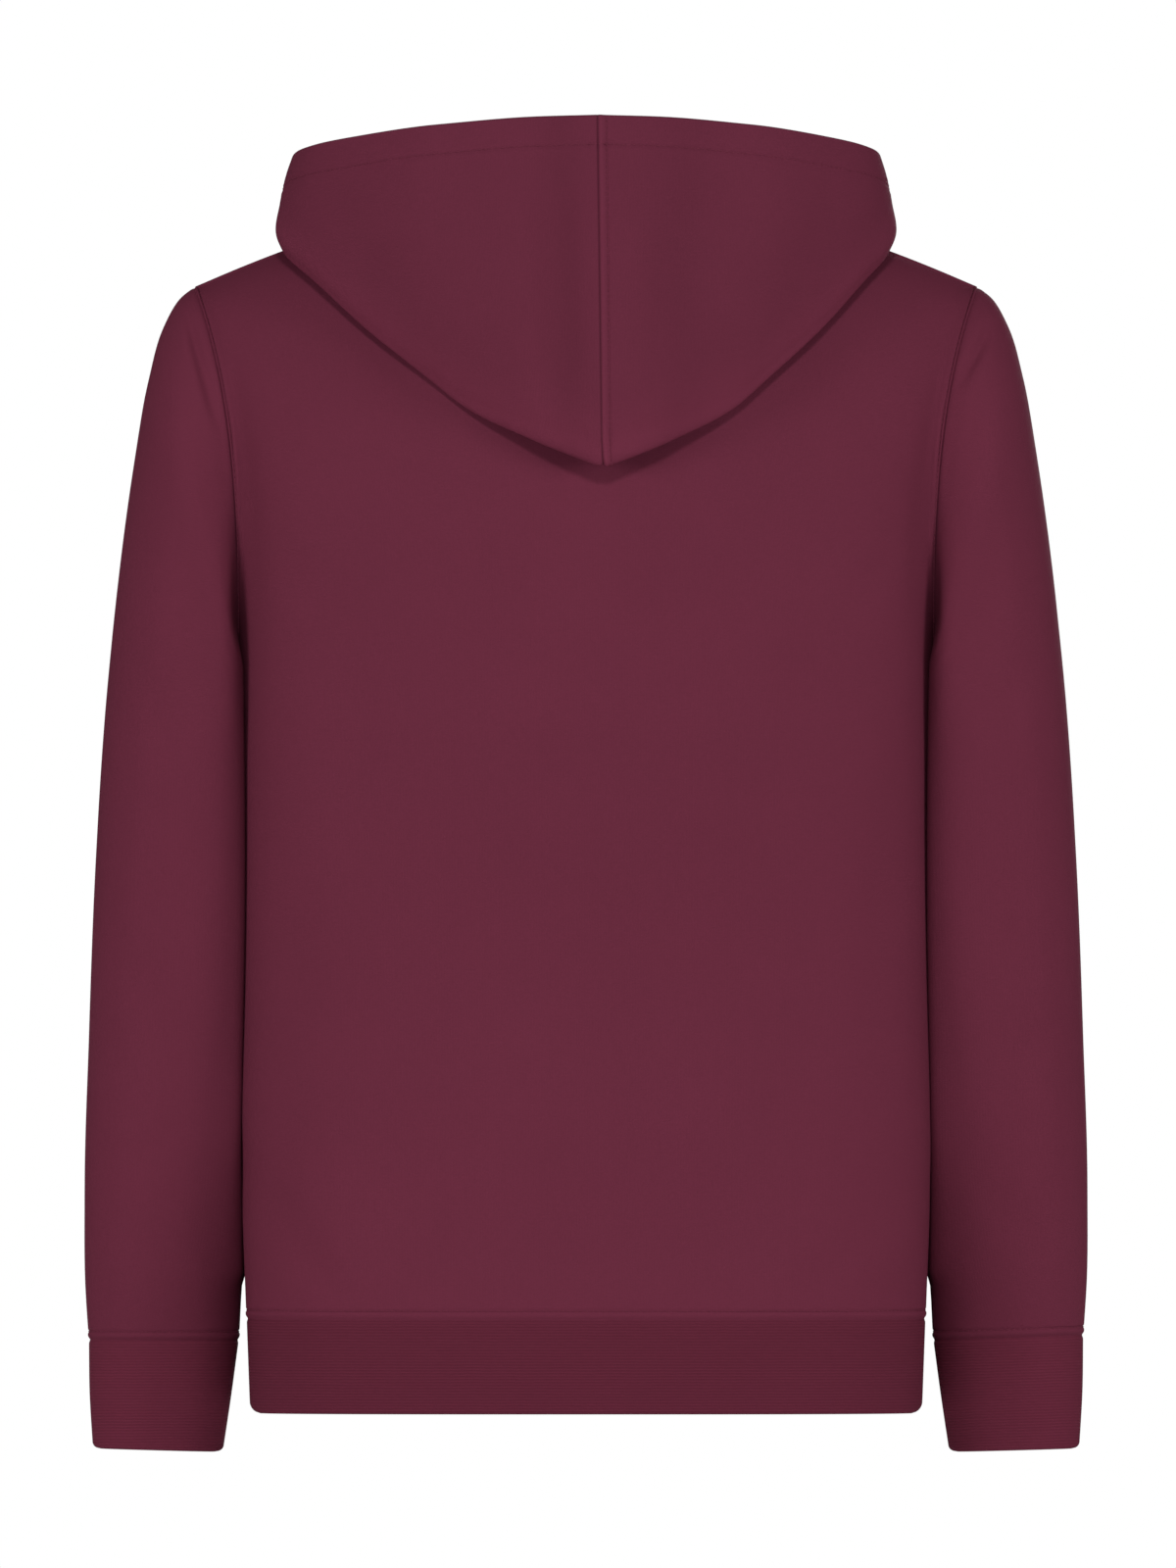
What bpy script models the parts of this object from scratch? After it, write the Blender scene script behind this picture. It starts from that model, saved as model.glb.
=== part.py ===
"""A zip up hoodie in brushed fleece, filled out as when it is worn, with nobody in it.

Metres, +Z up. The origin is at the base of the neck, level with the highest point of the shoulders.
+X is the wearer's left, the back faces +Y and the zip faces -Y. Every cloth piece is a wall: a grid
of outer points worked out from the sizes below, and the same grid moved in by the cloth's thickness.
"""
import math

import bmesh
import bpy
import numpy as np
from mathutils import Matrix, Vector
from mathutils.bvhtree import BVHTree

# Cloth, and the gaps between pieces: half of the armhole's, which is slanted, and the neck seam's
FLEECE = 0.0022
RIB = 0.0030
TAPE = 0.0010
SEAM_GAP = 0.0003
ARMHOLE_GAP = 0.6 * SEAM_GAP
NECK_GAP = 1.2 * SEAM_GAP
SHARP_ANGLE = math.radians(40)

# Torso: half width and the depth of the back and the front at each height
TORSO_COLUMNS = ("height", "half_width", "back", "front")
TORSO = (
    (-0.6469, 0.1983, 0.108, 0.114),
    (-0.5500, 0.2015, 0.103, 0.113),
    (-0.4500, 0.2008, 0.103, 0.114),
    (-0.3600, 0.2012, 0.113, 0.119),
    (-0.3000, 0.2022, 0.120, 0.123),
)
SECTION_ROUNDNESS = 2.6
HEM_SEAM = TORSO[0][0]
CHEST = TORSO[-1][0]
CHEST_ROUNDING = 1.10
TOP_ROUNDING_BACK = 0.90
TOP_ROUNDING_FRONT = 0.66
ARMHOLE_ROUNDING = 0.45

# Neck opening, shoulder seam and armhole
NECK_HALF_WIDTH = 0.087
NECK_BACK = (0.062, 0.022)
NECK_FRONT = (0.084, 0.083)
NECK_CURL = 1.5
NECK_RISE_BACK = 0.9
NECK_RISE_FRONT = 0.7
NECK_RISE_SIDE = 1.6
SHOULDER_TIP = (0.2286, -0.0446)
SHOULDER_CROWN = 1.4
SHOULDER_FALL = 0.30
UNDERARM = (0.2028, -0.2700)
ARMHOLE_BACK = 0.062
ARMHOLE_FRONT = 0.058
ARMHOLE_CURL = 3.2

# Columns of a torso panel from the centre to the side seam, and its rows from the hem seam up
NECK_COLUMNS = 8
SHOULDER_COLUMNS = 6
ARMHOLE_COLUMNS = 12
HALF_COLUMNS = NECK_COLUMNS + SHOULDER_COLUMNS + ARMHOLE_COLUMNS
TORSO_ROWS = 15
ROW_CROWDING = 1.5
RIDGE_COLUMNS = 2
SEAM_CROSSING = 0.40
SIDE_TURN = math.radians(85)
NECK_LEAN_BACK = math.radians(48)
NECK_LEAN_FRONT = math.radians(40)
LEAN_GROWTH_BACK = 1.2
LEAN_GROWTH_FRONT = 3.5
RIDGE_LEAN = math.radians(84)
NECK_ANGLE = math.radians(22)
SHOULDER_ANGLE = math.radians(54)

# Sleeve: the top line and the underside at each station, with its centre and half depth front to back
SLEEVE_COLUMNS = ("station", "top_x", "top_z", "under_x", "under_z", "centre_y", "half_depth", "power")
SLEEVE = (
    (0.00, 0.2286, -0.0446, 0.2028, -0.2700, 0.002, 0.0600, 1.00),
    (0.05, 0.2385, -0.0533, 0.2030, -0.2715, 0.003, 0.0645, 0.96),
    (0.10, 0.2470, -0.0690, 0.2030, -0.2735, 0.003, 0.0675, 0.92),
    (0.18, 0.2551, -0.0980, 0.2028, -0.2780, 0.003, 0.0690, 0.87),
    (0.28, 0.2636, -0.1460, 0.2025, -0.2850, 0.002, 0.0685, 0.84),
    (0.40, 0.2726, -0.2120, 0.2020, -0.2990, 0.001, 0.0660, 0.81),
    (0.52, 0.2805, -0.2900, 0.2009, -0.3240, -0.002, 0.0630, 0.80),
    (0.66, 0.2860, -0.3850, 0.1995, -0.3950, -0.007, 0.0580, 0.80),
    (0.80, 0.2896, -0.4830, 0.1998, -0.4850, -0.014, 0.0520, 0.80),
    (0.92, 0.2924, -0.5780, 0.2008, -0.5780, -0.021, 0.0470, 0.82),
    (1.00, 0.2920, -0.6586, 0.2016, -0.6586, -0.028, 0.0400, 0.85),
)
SLEEVE_CLEARANCE = 0.0013
SLEEVE_SOFTNESS = 0.0008
FOLD_REACH = 0.01
SLEEVE_CROWDING = 1.25
ARMHOLE_FADE = 0.25
CUFF_BEND = 0.25
START_CENTRE, START_HALF_DEPTH = SLEEVE[0][5:7]
SLEEVE_RINGS = 18
SLEEVE_SIDES = 2 * ARMHOLE_COLUMNS

# Cuff and hem band
CUFF_COLUMNS = ("station", "outer_x", "outer_z", "inner_x", "inner_z", "centre_y", "half_depth")
CUFF = (
    (0.0, 0.2903, -0.6589, 0.2029, -0.6589, -0.028, 0.0370),
    (0.5, 0.2895, -0.6903, 0.2073, -0.6913, -0.030, 0.0330),
    (1.0, 0.2868, -0.7217, 0.2125, -0.7238, -0.032, 0.0300),
)
CUFF_ROWS = 3
CUFF_POWER = 0.88
HEM_BOTTOM = -0.7017
HEM_TOP_INSET = 0.0008
HEM_BOTTOM_INSET = 0.0022
HEM_ROWS = 3
RIGHT_CUFF_RISE = 0.0028

# Hood, laid down on the back: its lower fold and its face edge from the centre seam to the zip, how far it
# stands up at the neck, the radius of its lower roll, and how far its outer layer is puffed out
HOOD_COLUMNS = (
    "station", "fold_x", "fold_y", "fold_z", "edge_x", "edge_y", "edge_z", "stand", "roll", "puff",
)
HOOD = (
    (0.00, 0.000, 0.130, -0.1490, 0.000, 0.113, 0.0533, 0.020, 0.0085, 0.026),
    (0.12, 0.042, 0.125, -0.1335, 0.045, 0.111, 0.0520, 0.020, 0.0080, 0.024),
    (0.25, 0.090, 0.107, -0.1055, 0.094, 0.103, 0.0476, 0.020, 0.0072, 0.018),
    (0.36, 0.130, 0.085, -0.0700, 0.134, 0.085, 0.0417, 0.020, 0.0064, 0.013),
    (0.46, 0.158, 0.059, -0.0415, 0.160, 0.060, 0.0364, 0.020, 0.0056, 0.008),
    (0.54, 0.1710, 0.034, -0.0275, 0.1695, 0.031, 0.0322, 0.020, 0.0052, 0.005),
    (0.64, 0.1700, 0.000, -0.0205, 0.1650, -0.006, 0.0195, 0.018, 0.0052, 0.004),
    (0.76, 0.140, -0.048, -0.0350, 0.134, -0.044, 0.0010, 0.014, 0.0060, 0.003),
    (0.88, 0.078, -0.089, -0.0640, 0.070, -0.078, -0.0310, 0.010, 0.0050, 0.002),
    (1.00, 0.0135, -0.099, -0.0830, 0.0085, -0.096, -0.0630, 0.006, 0.0035, 0.001),
)
HOOD_SKEW = (0.0, -0.0103, -0.0066)
HOOD_SIDE_STATION = 0.6
HOOD_HALF_WIDTH = 0.1777
HOOD_CLEARANCE = 0.0029
HOOD_SECTIONS = 2 * NECK_COLUMNS
HOOD_STEPS = 16
HOOD_FOLD_STEP = 5 / 8
AWAY_NECK_SHARE = 0.3
HALFWAY = 0.55
LAYER_LIFT = 0.30
LAYER_SINK = 0.6
ROLL_RISE_UNDER = 1.3
ROLL_RISE_OVER = 1.5
STAND_LEAN = 0.35
STAND_TOP_WIDTH_SHARE = 0.42
STAND_TOP_RISE_SHARE = 0.07

# Zip: depths are counted inwards from the fronts' outer surface
ZIP_HALF_OPENING = 0.0062
ZIP_FADE_WIDTH = 0.2
ZIP_FADE_POWER = 8
ZIP_CLEARANCE = 0.0004
TAPE_EDGE = 0.0034
TAPE_SHARE = 0.45
TEETH_HALF_WIDTH = 0.0029
TEETH_THICKNESS = 0.0024
SLIDER_BELOW_NECK = 0.0130
SLIDER_WIDTH = 0.0090
SLIDER_HEIGHT = 0.0125
SLIDER_PLATE = 0.0012
BRIDGE_WIDTH = 0.0054
BRIDGE_HEIGHT = 0.0030
BAIL_INNER_RADIUS = 0.0021
BAIL_OUTER_RADIUS = 0.0034
BAIL_WIDTH = 0.0018
BAIL_ABOVE_PLATE = 0.0012
BAIL_HEIGHT = 0.0005
BAIL_SIDES = 32
PULL_WIDTH = 0.0068
PULL_LENGTH = 0.0260
PULL_THICKNESS = 0.0014
PULL_BAR = 0.0008
PULL_SLOT_WIDTH = 0.0028
PULL_SLOT_END = 0.0039

BURGUNDY = (0.125, 0.024, 0.046, 1.0)
BURGUNDY_RIB = (0.105, 0.020, 0.037, 1.0)
METAL = (0.30, 0.29, 0.28, 1.0)


def smooth(table, columns, name, at):
    """A column of a table as a smooth curve over the table's first column, read at some stations."""
    rows = np.array(table, dtype=float)
    stations = rows[:, 0]
    values = rows[:, columns.index(name)]
    slopes = np.gradient(values, stations)
    index = np.clip(np.searchsorted(stations, at, side="right") - 1, 0, len(stations) - 2)
    width = stations[index + 1] - stations[index]
    s = (at - stations[index]) / width
    return hermite(values[index], slopes[index] * width, values[index + 1], slopes[index + 1] * width, s)


def hermite(start, start_slope, end, end_slope, s):
    """The cubic that leaves start with one slope and reaches end with the other, for s from 0 to 1."""
    return (
        (2 * s**3 - 3 * s**2 + 1) * start
        + (s**3 - 2 * s**2 + s) * start_slope
        + (3 * s**2 - 2 * s**3) * end
        + (s**3 - s**2) * end_slope
    )


def unit(vectors):
    """Vectors of length one."""
    return vectors / np.linalg.norm(vectors, axis=-1, keepdims=True)


def stack(x, y, z):
    """Points from their three coordinates, which may be arrays or numbers."""
    return np.stack(np.broadcast_arrays(x, y, z), axis=-1).astype(float)


# Torso

def armhole(angle, back):
    """The armhole seam: the angle runs from 0 at the shoulder tip to pi under the arm, back is 1 or -1."""
    rise = (1 + np.cos(angle)) / 2
    depth = ARMHOLE_BACK if back > 0 else ARMHOLE_FRONT
    x = UNDERARM[0] + (SHOULDER_TIP[0] - UNDERARM[0]) * rise**ARMHOLE_CURL
    z = UNDERARM[1] + (SHOULDER_TIP[1] - UNDERARM[1]) * rise
    return stack(x, back * depth * np.sin(angle), z)


def neckline(angle, back):
    """The neck seam: the angle runs from 0 at the centre to pi / 2 at the shoulder seam."""
    depth, drop = NECK_BACK if back > 0 else NECK_FRONT
    y = back * depth * np.cos(angle)
    return stack(NECK_HALF_WIDTH * np.sin(angle), y, -drop * np.clip(np.cos(angle), 0, 1) ** NECK_CURL)


def shoulder(fraction):
    """The shoulder seam, from the neck at 0 to the shoulder tip at 1."""
    x = NECK_HALF_WIDTH + (SHOULDER_TIP[0] - NECK_HALF_WIDTH) * fraction
    return stack(x, 0, SHOULDER_TIP[1] * fraction**SHOULDER_CROWN)


def top_edge(column, back):
    """The end of each column of a torso panel, and the direction in which the cloth arrives there."""
    neck_turn = np.clip(column / NECK_COLUMNS, 0, 1) * math.pi / 2
    along_shoulder = np.clip((column - NECK_COLUMNS) / SHOULDER_COLUMNS, 0, 1)
    past_tip = column - NECK_COLUMNS - SHOULDER_COLUMNS
    arm_turn = np.clip(past_tip / ARMHOLE_COLUMNS, 0, 1) * math.pi
    in_neck = (column < NECK_COLUMNS)[..., None]
    on_arm = (past_tip > 0)[..., None]
    point = np.where(in_neck, neckline(neck_turn, back), shoulder(along_shoulder))
    point = np.where(on_arm, armhole(arm_turn, back), point)
    centre_lean = NECK_LEAN_BACK if back > 0 else NECK_LEAN_FRONT
    growth = LEAN_GROWTH_BACK if back > 0 else LEAN_GROWTH_FRONT
    lean = centre_lean + (RIDGE_LEAN - centre_lean) * (neck_turn / (math.pi / 2)) ** growth
    over = unit(stack(SEAM_CROSSING * along_shoulder**2, -back * np.sin(lean), np.cos(lean)))
    rise = (1 + np.cos(arm_turn)) / 2
    fall = (SHOULDER_TIP[0] - UNDERARM[0], SHOULDER_TIP[1] - UNDERARM[1])
    seam_x = fall[0] * np.sin(arm_turn) / 2 * ARMHOLE_CURL * rise ** (ARMHOLE_CURL - 1)
    seam_y = -back * (ARMHOLE_BACK if back > 0 else ARMHOLE_FRONT) * np.cos(arm_turn)
    seam_z = fall[1] * np.sin(arm_turn) / 2
    upwards = np.clip(arm_turn / math.pi * 2 - 1, 0, 1)[..., None]
    turned = arm_turn / math.pi * SIDE_TURN
    crossing = SEAM_CROSSING * stack(np.cos(turned), -back * np.sin(turned), 0)
    beside = unit(unit(stack(seam_x, seam_y, seam_z)) + crossing)
    beside = unit(beside * (1 - upwards) + np.array((0, 0, 1.0)) * upwards)
    return point, np.where(on_arm, beside, over)


def torso_section(angle, height, back):
    """A point of the torso below the arms: the angle is 0 at the centre and pi / 2 at the side seam."""
    half_width = smooth(TORSO, TORSO_COLUMNS, "half_width", height)
    depth = smooth(TORSO, TORSO_COLUMNS, "back" if back > 0 else "front", height)
    power = 2 / SECTION_ROUNDNESS
    x = half_width * np.sin(angle) ** power
    y = back * depth * np.clip(np.cos(angle), 0, 1) ** power
    return stack(x, y, height)


def torso(column, row, back):
    """A point of the back (1) or front (-1): column 0 is the centre, row runs from 0 at the hem seam to 1."""
    column, row = np.broadcast_arrays(np.asarray(column, float), np.asarray(row, float))
    past_neck = np.clip(column - NECK_COLUMNS, 0, SHOULDER_COLUMNS) / SHOULDER_COLUMNS
    past_tip = np.clip(column - NECK_COLUMNS - SHOULDER_COLUMNS, 0, ARMHOLE_COLUMNS) / ARMHOLE_COLUMNS
    angle = NECK_ANGLE * np.clip(column / NECK_COLUMNS, 0, 1)
    angle = angle + (SHOULDER_ANGLE - NECK_ANGLE) * past_neck
    angle = angle + (math.pi / 2 - SHOULDER_ANGLE) * past_tip
    end, arrival = top_edge(column, back)
    chest = torso_section(angle, np.full(angle.shape, CHEST), back)
    reach = np.linalg.norm(end - chest, axis=-1)
    travelled = row * (CHEST - HEM_SEAM + reach)
    below = torso_section(angle, np.minimum(HEM_SEAM + travelled, CHEST), back)
    s = np.clip((travelled - (CHEST - HEM_SEAM)) / reach, 0, 1)[..., None]
    reach = reach[..., None]
    top_rounding = TOP_ROUNDING_BACK if back > 0 else TOP_ROUNDING_FRONT
    top_rounding += (ARMHOLE_ROUNDING - top_rounding) * np.clip(2 * past_tip[..., None], 0, 1)
    leaving = CHEST_ROUNDING * reach * np.array((0, 0, 1.0))
    above = hermite(chest, leaving, end, top_rounding * reach * arrival, s)
    point = np.where((travelled > CHEST - HEM_SEAM)[..., None], above, below)
    if back < 0:
        point[..., 0] += parted(point[..., 0])
    return point


def parted(x):
    """How far the fronts stand aside for the zip, most at the centre."""
    return ZIP_HALF_OPENING * np.clip(1 - x / ZIP_FADE_WIDTH, 0, 1) ** ZIP_FADE_POWER


def grid_normals(points, outward):
    """Normals of a grid of points, turned so that they point as outward does at the grid's middle."""
    along = np.gradient(points, axis=0)
    across = np.gradient(points, axis=1)
    normals = unit(np.cross(along, across))
    middle = tuple(size // 2 for size in points.shape[:2])
    return normals if np.dot(normals[middle], outward) > 0 else -normals


def seam_normals(column, back):
    """The normals that the torso shares with the hood, the other panel and the sleeve along its top edge."""
    past_tip = column - NECK_COLUMNS - SHOULDER_COLUMNS
    arm_turn = np.clip(past_tip / ARMHOLE_COLUMNS, 0, 1) * math.pi
    neck_turn = np.clip(column / NECK_COLUMNS, 0, 1) * math.pi / 2
    round_arm = armhole_normal(arm_turn, 1.0) * (1, back, 1)
    round_neck = neck_normal(neck_turn, back)
    ridge = stack(SHOULDER_FALL, 0, 1)
    blend = np.clip((column - NECK_COLUMNS) / RIDGE_COLUMNS, 0, 1)[..., None]
    over = round_neck * (1 - blend) + unit(ridge) * blend
    return unit(np.where((past_tip > 0)[..., None], unit(round_arm), over))


def armhole_normal(angle, side):
    """The outward normal at the armhole seam, which turns towards the torso's (1) or the sleeve's own (-1)
    from the shoulder tip, where the cloth runs straight over the seam, to the fold under the arm."""
    lean = SHOULDER_FALL * np.clip(1 - angle / math.pi, 0, 1) ** 2
    return unit(stack(lean + side * angle / math.pi, np.sin(angle), np.cos(angle)))


def neck_normal(angle, back):
    """The outward normal at the neck seam, half way between the shoulder's and the standing hood's."""
    rise = np.cos(angle) * (NECK_RISE_BACK if back > 0 else NECK_RISE_FRONT) + NECK_RISE_SIDE * np.sin(angle)
    return unit(stack(np.sin(angle), back * np.cos(angle), rise))


def neck_crossing(turn):
    """The direction across the neck seam into the hood; the turn runs from 0 at the back to pi in front."""
    angle = np.minimum(turn, math.pi - turn)
    crossings = []
    for back, (depth, drop) in ((1, NECK_BACK), (-1, NECK_FRONT)):
        fall = NECK_CURL * drop * np.sqrt(np.clip(np.cos(angle), 0, 1)) * np.sin(angle)
        along = stack(NECK_HALF_WIDTH * np.cos(angle), -back * depth * np.sin(angle), fall)
        crossings.append(-back * unit(np.cross(neck_normal(angle, back), along)))
    return np.where((turn <= math.pi / 2)[..., None], crossings[0], crossings[1])


def torso_rows():
    """The rows of the torso's panels, closer together towards the shoulders."""
    return 1 - (1 - np.arange(TORSO_ROWS + 1) / TORSO_ROWS) ** ROW_CROWDING


def torso_panel(back, columns, rows):
    """The outer points and normals of half a torso panel, with the seams' normals on its edges."""
    points = torso(columns[:, None], rows[None, :], back)
    normals = grid_normals(points, (0, back, 0))
    normals[:, -1] = seam_normals(columns, back)
    normals[-1, :-1] = (1, 0, 0)
    if back > 0:
        normals[0, :, 0] = 0
        normals = unit(normals)
    side = np.array((0, back * SEAM_GAP / 2, 0))
    points[-1] += side
    past_tip = columns - NECK_COLUMNS - SHOULDER_COLUMNS
    points[(columns >= NECK_COLUMNS) & (past_tip <= 0), -1] += side
    points[past_tip >= 0, -1] -= np.array((ARMHOLE_GAP, 0, 0))
    return points, normals


# Sleeve, cuff and hem band

def sleeve(turn, station, rise=0.0):
    """A point of the left sleeve: turn 0 at the top, a quarter at the back, station 0 to 1 at the cuff,
    whose seam may rise at its outer end."""
    turn, station = np.broadcast_arrays(np.asarray(turn, float), np.asarray(station, float))
    angle = 2 * math.pi * turn
    read = {name: smooth(SLEEVE, SLEEVE_COLUMNS, name, station) for name in SLEEVE_COLUMNS[1:]}
    up = np.sign(np.cos(angle)) * np.abs(np.cos(angle)) ** read["power"]
    out = np.sign(np.sin(angle)) * np.abs(np.sin(angle)) ** read["power"]
    x = (read["top_x"] + read["under_x"]) / 2 + up * (read["top_x"] - read["under_x"]) / 2
    z = (read["top_z"] + read["under_z"]) / 2 + up * (read["top_z"] - read["under_z"]) / 2
    y = read["centre_y"] + out * read["half_depth"]
    point = stack(x, y, z)
    back = armhole(angle, 1)
    front = armhole(angle, 1) * (1, ARMHOLE_FRONT / ARMHOLE_BACK, 1)
    seam = np.where((out > 0)[..., None], back, front)
    fade = np.clip(1 - station / ARMHOLE_FADE, 0, 1)[..., None] ** 2
    tip, under = np.array(SHOULDER_TIP), np.array(UNDERARM)
    ring_x, ring_z = ((tip + under)[:, None] + (tip - under)[:, None] * np.cos(angle).ravel()) / 2
    ring_y = START_CENTRE + START_HALF_DEPTH * np.sin(angle)
    ring = stack(ring_x.reshape(angle.shape), ring_y, ring_z.reshape(angle.shape))
    point = point + fade * (seam - ring)
    bend = (1 + up) / 2 * np.clip(1 - (1 - station) / CUFF_BEND, 0, 1) ** 2
    point[..., 2] += rise * bend
    return beside_torso(point, fade[..., 0])


def beside_torso(point, fade):
    """Points of the sleeve moved out where they would lie in the torso's side, which the sleeve touches."""
    height = np.clip(point[..., 2], HEM_SEAM, CHEST)
    half_width = smooth(TORSO, TORSO_COLUMNS, "half_width", height)
    back = smooth(TORSO, TORSO_COLUMNS, "back", height)
    front = smooth(TORSO, TORSO_COLUMNS, "front", height)
    share = np.clip(np.abs(point[..., 1]) / np.where(point[..., 1] > 0, back, front), 0, 1)
    side = half_width * (1 - share**SECTION_ROUNDNESS) ** (1 / SECTION_ROUNDNESS)
    excess = side + SLEEVE_CLEARANCE * (1 - fade) - point[..., 0]
    push = (excess + np.sqrt(excess**2 + SLEEVE_SOFTNESS**2)) / 2
    point[..., 0] += np.where(point[..., 2] < UNDERARM[1] + FOLD_REACH, push * (1 - fade), 0)
    return point


def sleeve_wall(rise):
    """The outer points and normals of the left sleeve, ring by ring from the armhole to the cuff."""
    turns = np.arange(SLEEVE_SIDES) / SLEEVE_SIDES
    stations = (np.arange(SLEEVE_RINGS + 1) / SLEEVE_RINGS) ** SLEEVE_CROWDING
    points = sleeve(turns[:, None], stations[None, :], rise)
    normals = tube_normals(points)
    angle = 2 * math.pi * turns
    normals[:, 0] = armhole_normal(np.minimum(angle, 2 * math.pi - angle), -1.0)
    normals[:, 0, 1] *= np.where(angle > math.pi, -1, 1)
    points[:, 0] += np.array((ARMHOLE_GAP, 0, 0))
    return points, normals


def tube_normals(points):
    """Outward normals of a closed tube whose first axis goes round."""
    along = np.roll(points, -1, axis=0) - np.roll(points, 1, axis=0)
    across = np.gradient(points, axis=1)
    normals = unit(np.cross(along, across))
    outward = points - points.mean(axis=0, keepdims=True)
    return normals if (normals * outward).sum() > 0 else -normals


def cuff_wall(rise):
    """The outer points and normals of the left cuff; rise lifts the outer end of its seam."""
    turns = np.arange(SLEEVE_SIDES) / SLEEVE_SIDES
    stations = np.linspace(0, 1, CUFF_ROWS + 1)
    angle = 2 * math.pi * turns[:, None]
    read = {name: smooth(CUFF, CUFF_COLUMNS, name, stations) for name in CUFF_COLUMNS[1:]}
    up = np.sign(np.cos(angle)) * np.abs(np.cos(angle)) ** CUFF_POWER
    out = np.sign(np.sin(angle)) * np.abs(np.sin(angle)) ** CUFF_POWER
    x = (read["outer_x"] + read["inner_x"]) / 2 + up * (read["outer_x"] - read["inner_x"]) / 2
    z = (read["outer_z"] + read["inner_z"]) / 2 + up * (read["outer_z"] - read["inner_z"]) / 2
    z = z + rise * (1 + up) / 2 * (1 - stations)
    return stack(x, read["centre_y"] + out * read["half_depth"], z)


def hem_wall():
    """The outer points of the hem band, from the zip on the wearer's right round the back to the left."""
    columns = np.arange(HALF_COLUMNS + 1, dtype=float)
    back = torso(columns, 0.0, 1)
    front = torso(columns, 0.0, -1)
    mirrored = np.array((-1, 1, 1))
    ring = np.concatenate((front * mirrored, back[-2:0:-1] * mirrored, back, front[-2::-1]))
    inward = unit(np.gradient(ring, axis=0)[:, [1, 0, 2]] * (1, -1, 0))
    if np.dot(inward[HALF_COLUMNS * 2], (0, 1, 0)) > 0:
        inward = -inward
    depth = np.linspace(0, 1, HEM_ROWS + 1)
    inset = HEM_TOP_INSET + (HEM_BOTTOM_INSET - HEM_TOP_INSET) * depth
    height = HEM_SEAM - SEAM_GAP + (HEM_BOTTOM - HEM_SEAM + SEAM_GAP) * depth
    points = ring[:, None, :] + inward[:, None, :] * inset[None, :, None]
    points[..., 2] = height
    points[0, :, 0] = -ZIP_HALF_OPENING
    points[-1, :, 0] = ZIP_HALF_OPENING
    return points, np.repeat(-inward[:, None, :], HEM_ROWS + 1, axis=1)


# Hood

def hood(station, step):
    """A point of the left hood panel: station 0 at the centre seam to 1 at the zip, step 0 at the neck
    seam to 1 at the face edge. Each section is a smooth curve from the neck up, over, down to the fold
    that lies on the shoulders, and up again to the face edge."""
    station, step = np.broadcast_arrays(np.asarray(station, float), np.asarray(step, float))
    read = {name: smooth(HOOD, HOOD_COLUMNS, name, station) for name in HOOD_COLUMNS[1:]}
    turn = station * math.pi
    behind = neckline(np.minimum(turn, math.pi / 2), 1)
    before = neckline(np.clip(math.pi - turn, 0, math.pi / 2), -1)
    neck = np.where((station <= 0.5)[..., None], behind, before)
    neck = neck + NECK_GAP * neck_crossing(turn)
    neck[..., 0] += np.where(station > 0.5, parted(neck[..., 0]), 0)
    fold = stack(read["fold_x"], read["fold_y"], read["fold_z"])
    edge = stack(read["edge_x"], read["edge_y"], read["edge_z"])
    away = unit((fold - AWAY_NECK_SHARE * neck) * (1, 1, 0))
    up = np.array((0, 0, 1.0))
    height = read["stand"][..., None]
    stand = neck + height * (up + STAND_LEAN * away)
    roll = read["roll"][..., None]
    knots = [
        neck,
        stand,
        stand + height * (up * STAND_TOP_RISE_SHARE + away * STAND_TOP_WIDTH_SHARE),
        stand + (fold - stand) * HALFWAY + up * LAYER_LIFT * height - away * LAYER_SINK * roll,
        fold - away * roll + up * ROLL_RISE_UNDER * roll,
        fold,
        fold + away * roll + up * ROLL_RISE_OVER * roll,
        fold + (edge - fold) * HALFWAY + away * read["puff"][..., None],
        edge,
    ]
    return through(knots, step)


def through(knots, at):
    """The smooth curve through the knots, read from 0 to 1 with an equal share for each span."""
    knots = np.array(knots)
    gaps = np.linalg.norm(np.diff(knots, axis=0), axis=-1) + 1e-9
    marks = np.concatenate((np.zeros((1,) + gaps.shape[1:]), np.cumsum(gaps, axis=0)))
    marks = marks / marks[-1]
    speeds = np.diff(knots, axis=0) / np.diff(marks, axis=0)[..., None]
    before = np.concatenate((speeds[:1], speeds))
    after = np.concatenate((speeds, speeds[-1:]))
    widths = np.diff(marks, axis=0)[..., None]
    wide_before = np.concatenate((widths[:1], widths))
    wide_after = np.concatenate((widths, widths[-1:]))
    slopes = (before * wide_after + after * wide_before) / (wide_before + wide_after)
    spans = len(knots) - 1
    interval = np.minimum((at * spans).astype(int), spans - 1)
    s = (at * spans - interval)[..., None]
    result = np.zeros(knots.shape[1:])
    for k in range(spans):
        width = widths[k]
        piece = hermite(knots[k], slopes[k] * width, knots[k + 1], slopes[k + 1] * width, s)
        result = np.where((interval == k)[..., None], piece, result)
    return result


def torso_surface():
    """The upper torso's outer surface, both halves, for what lies on it."""
    columns = np.linspace(0, HALF_COLUMNS, 2 * HALF_COLUMNS + 1)
    rows = np.linspace(0.5, 1, 2 * TORSO_ROWS + 1)
    vertices = []
    faces = []
    for back in (1, -1):
        points = torso(columns[:, None], rows[None, :], back)
        start = len(vertices)
        vertices.extend(Vector(point) for point in points.reshape(-1, 3))
        for i in range(len(columns) - 1):
            for k in range(len(rows) - 1):
                a = start + i * len(rows) + k
                b = a + len(rows)
                faces.append((a, a + 1, b + 1, b) if back > 0 else (a, b, b + 1, a + 1))
    return BVHTree.FromPolygons(vertices, faces)


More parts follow.
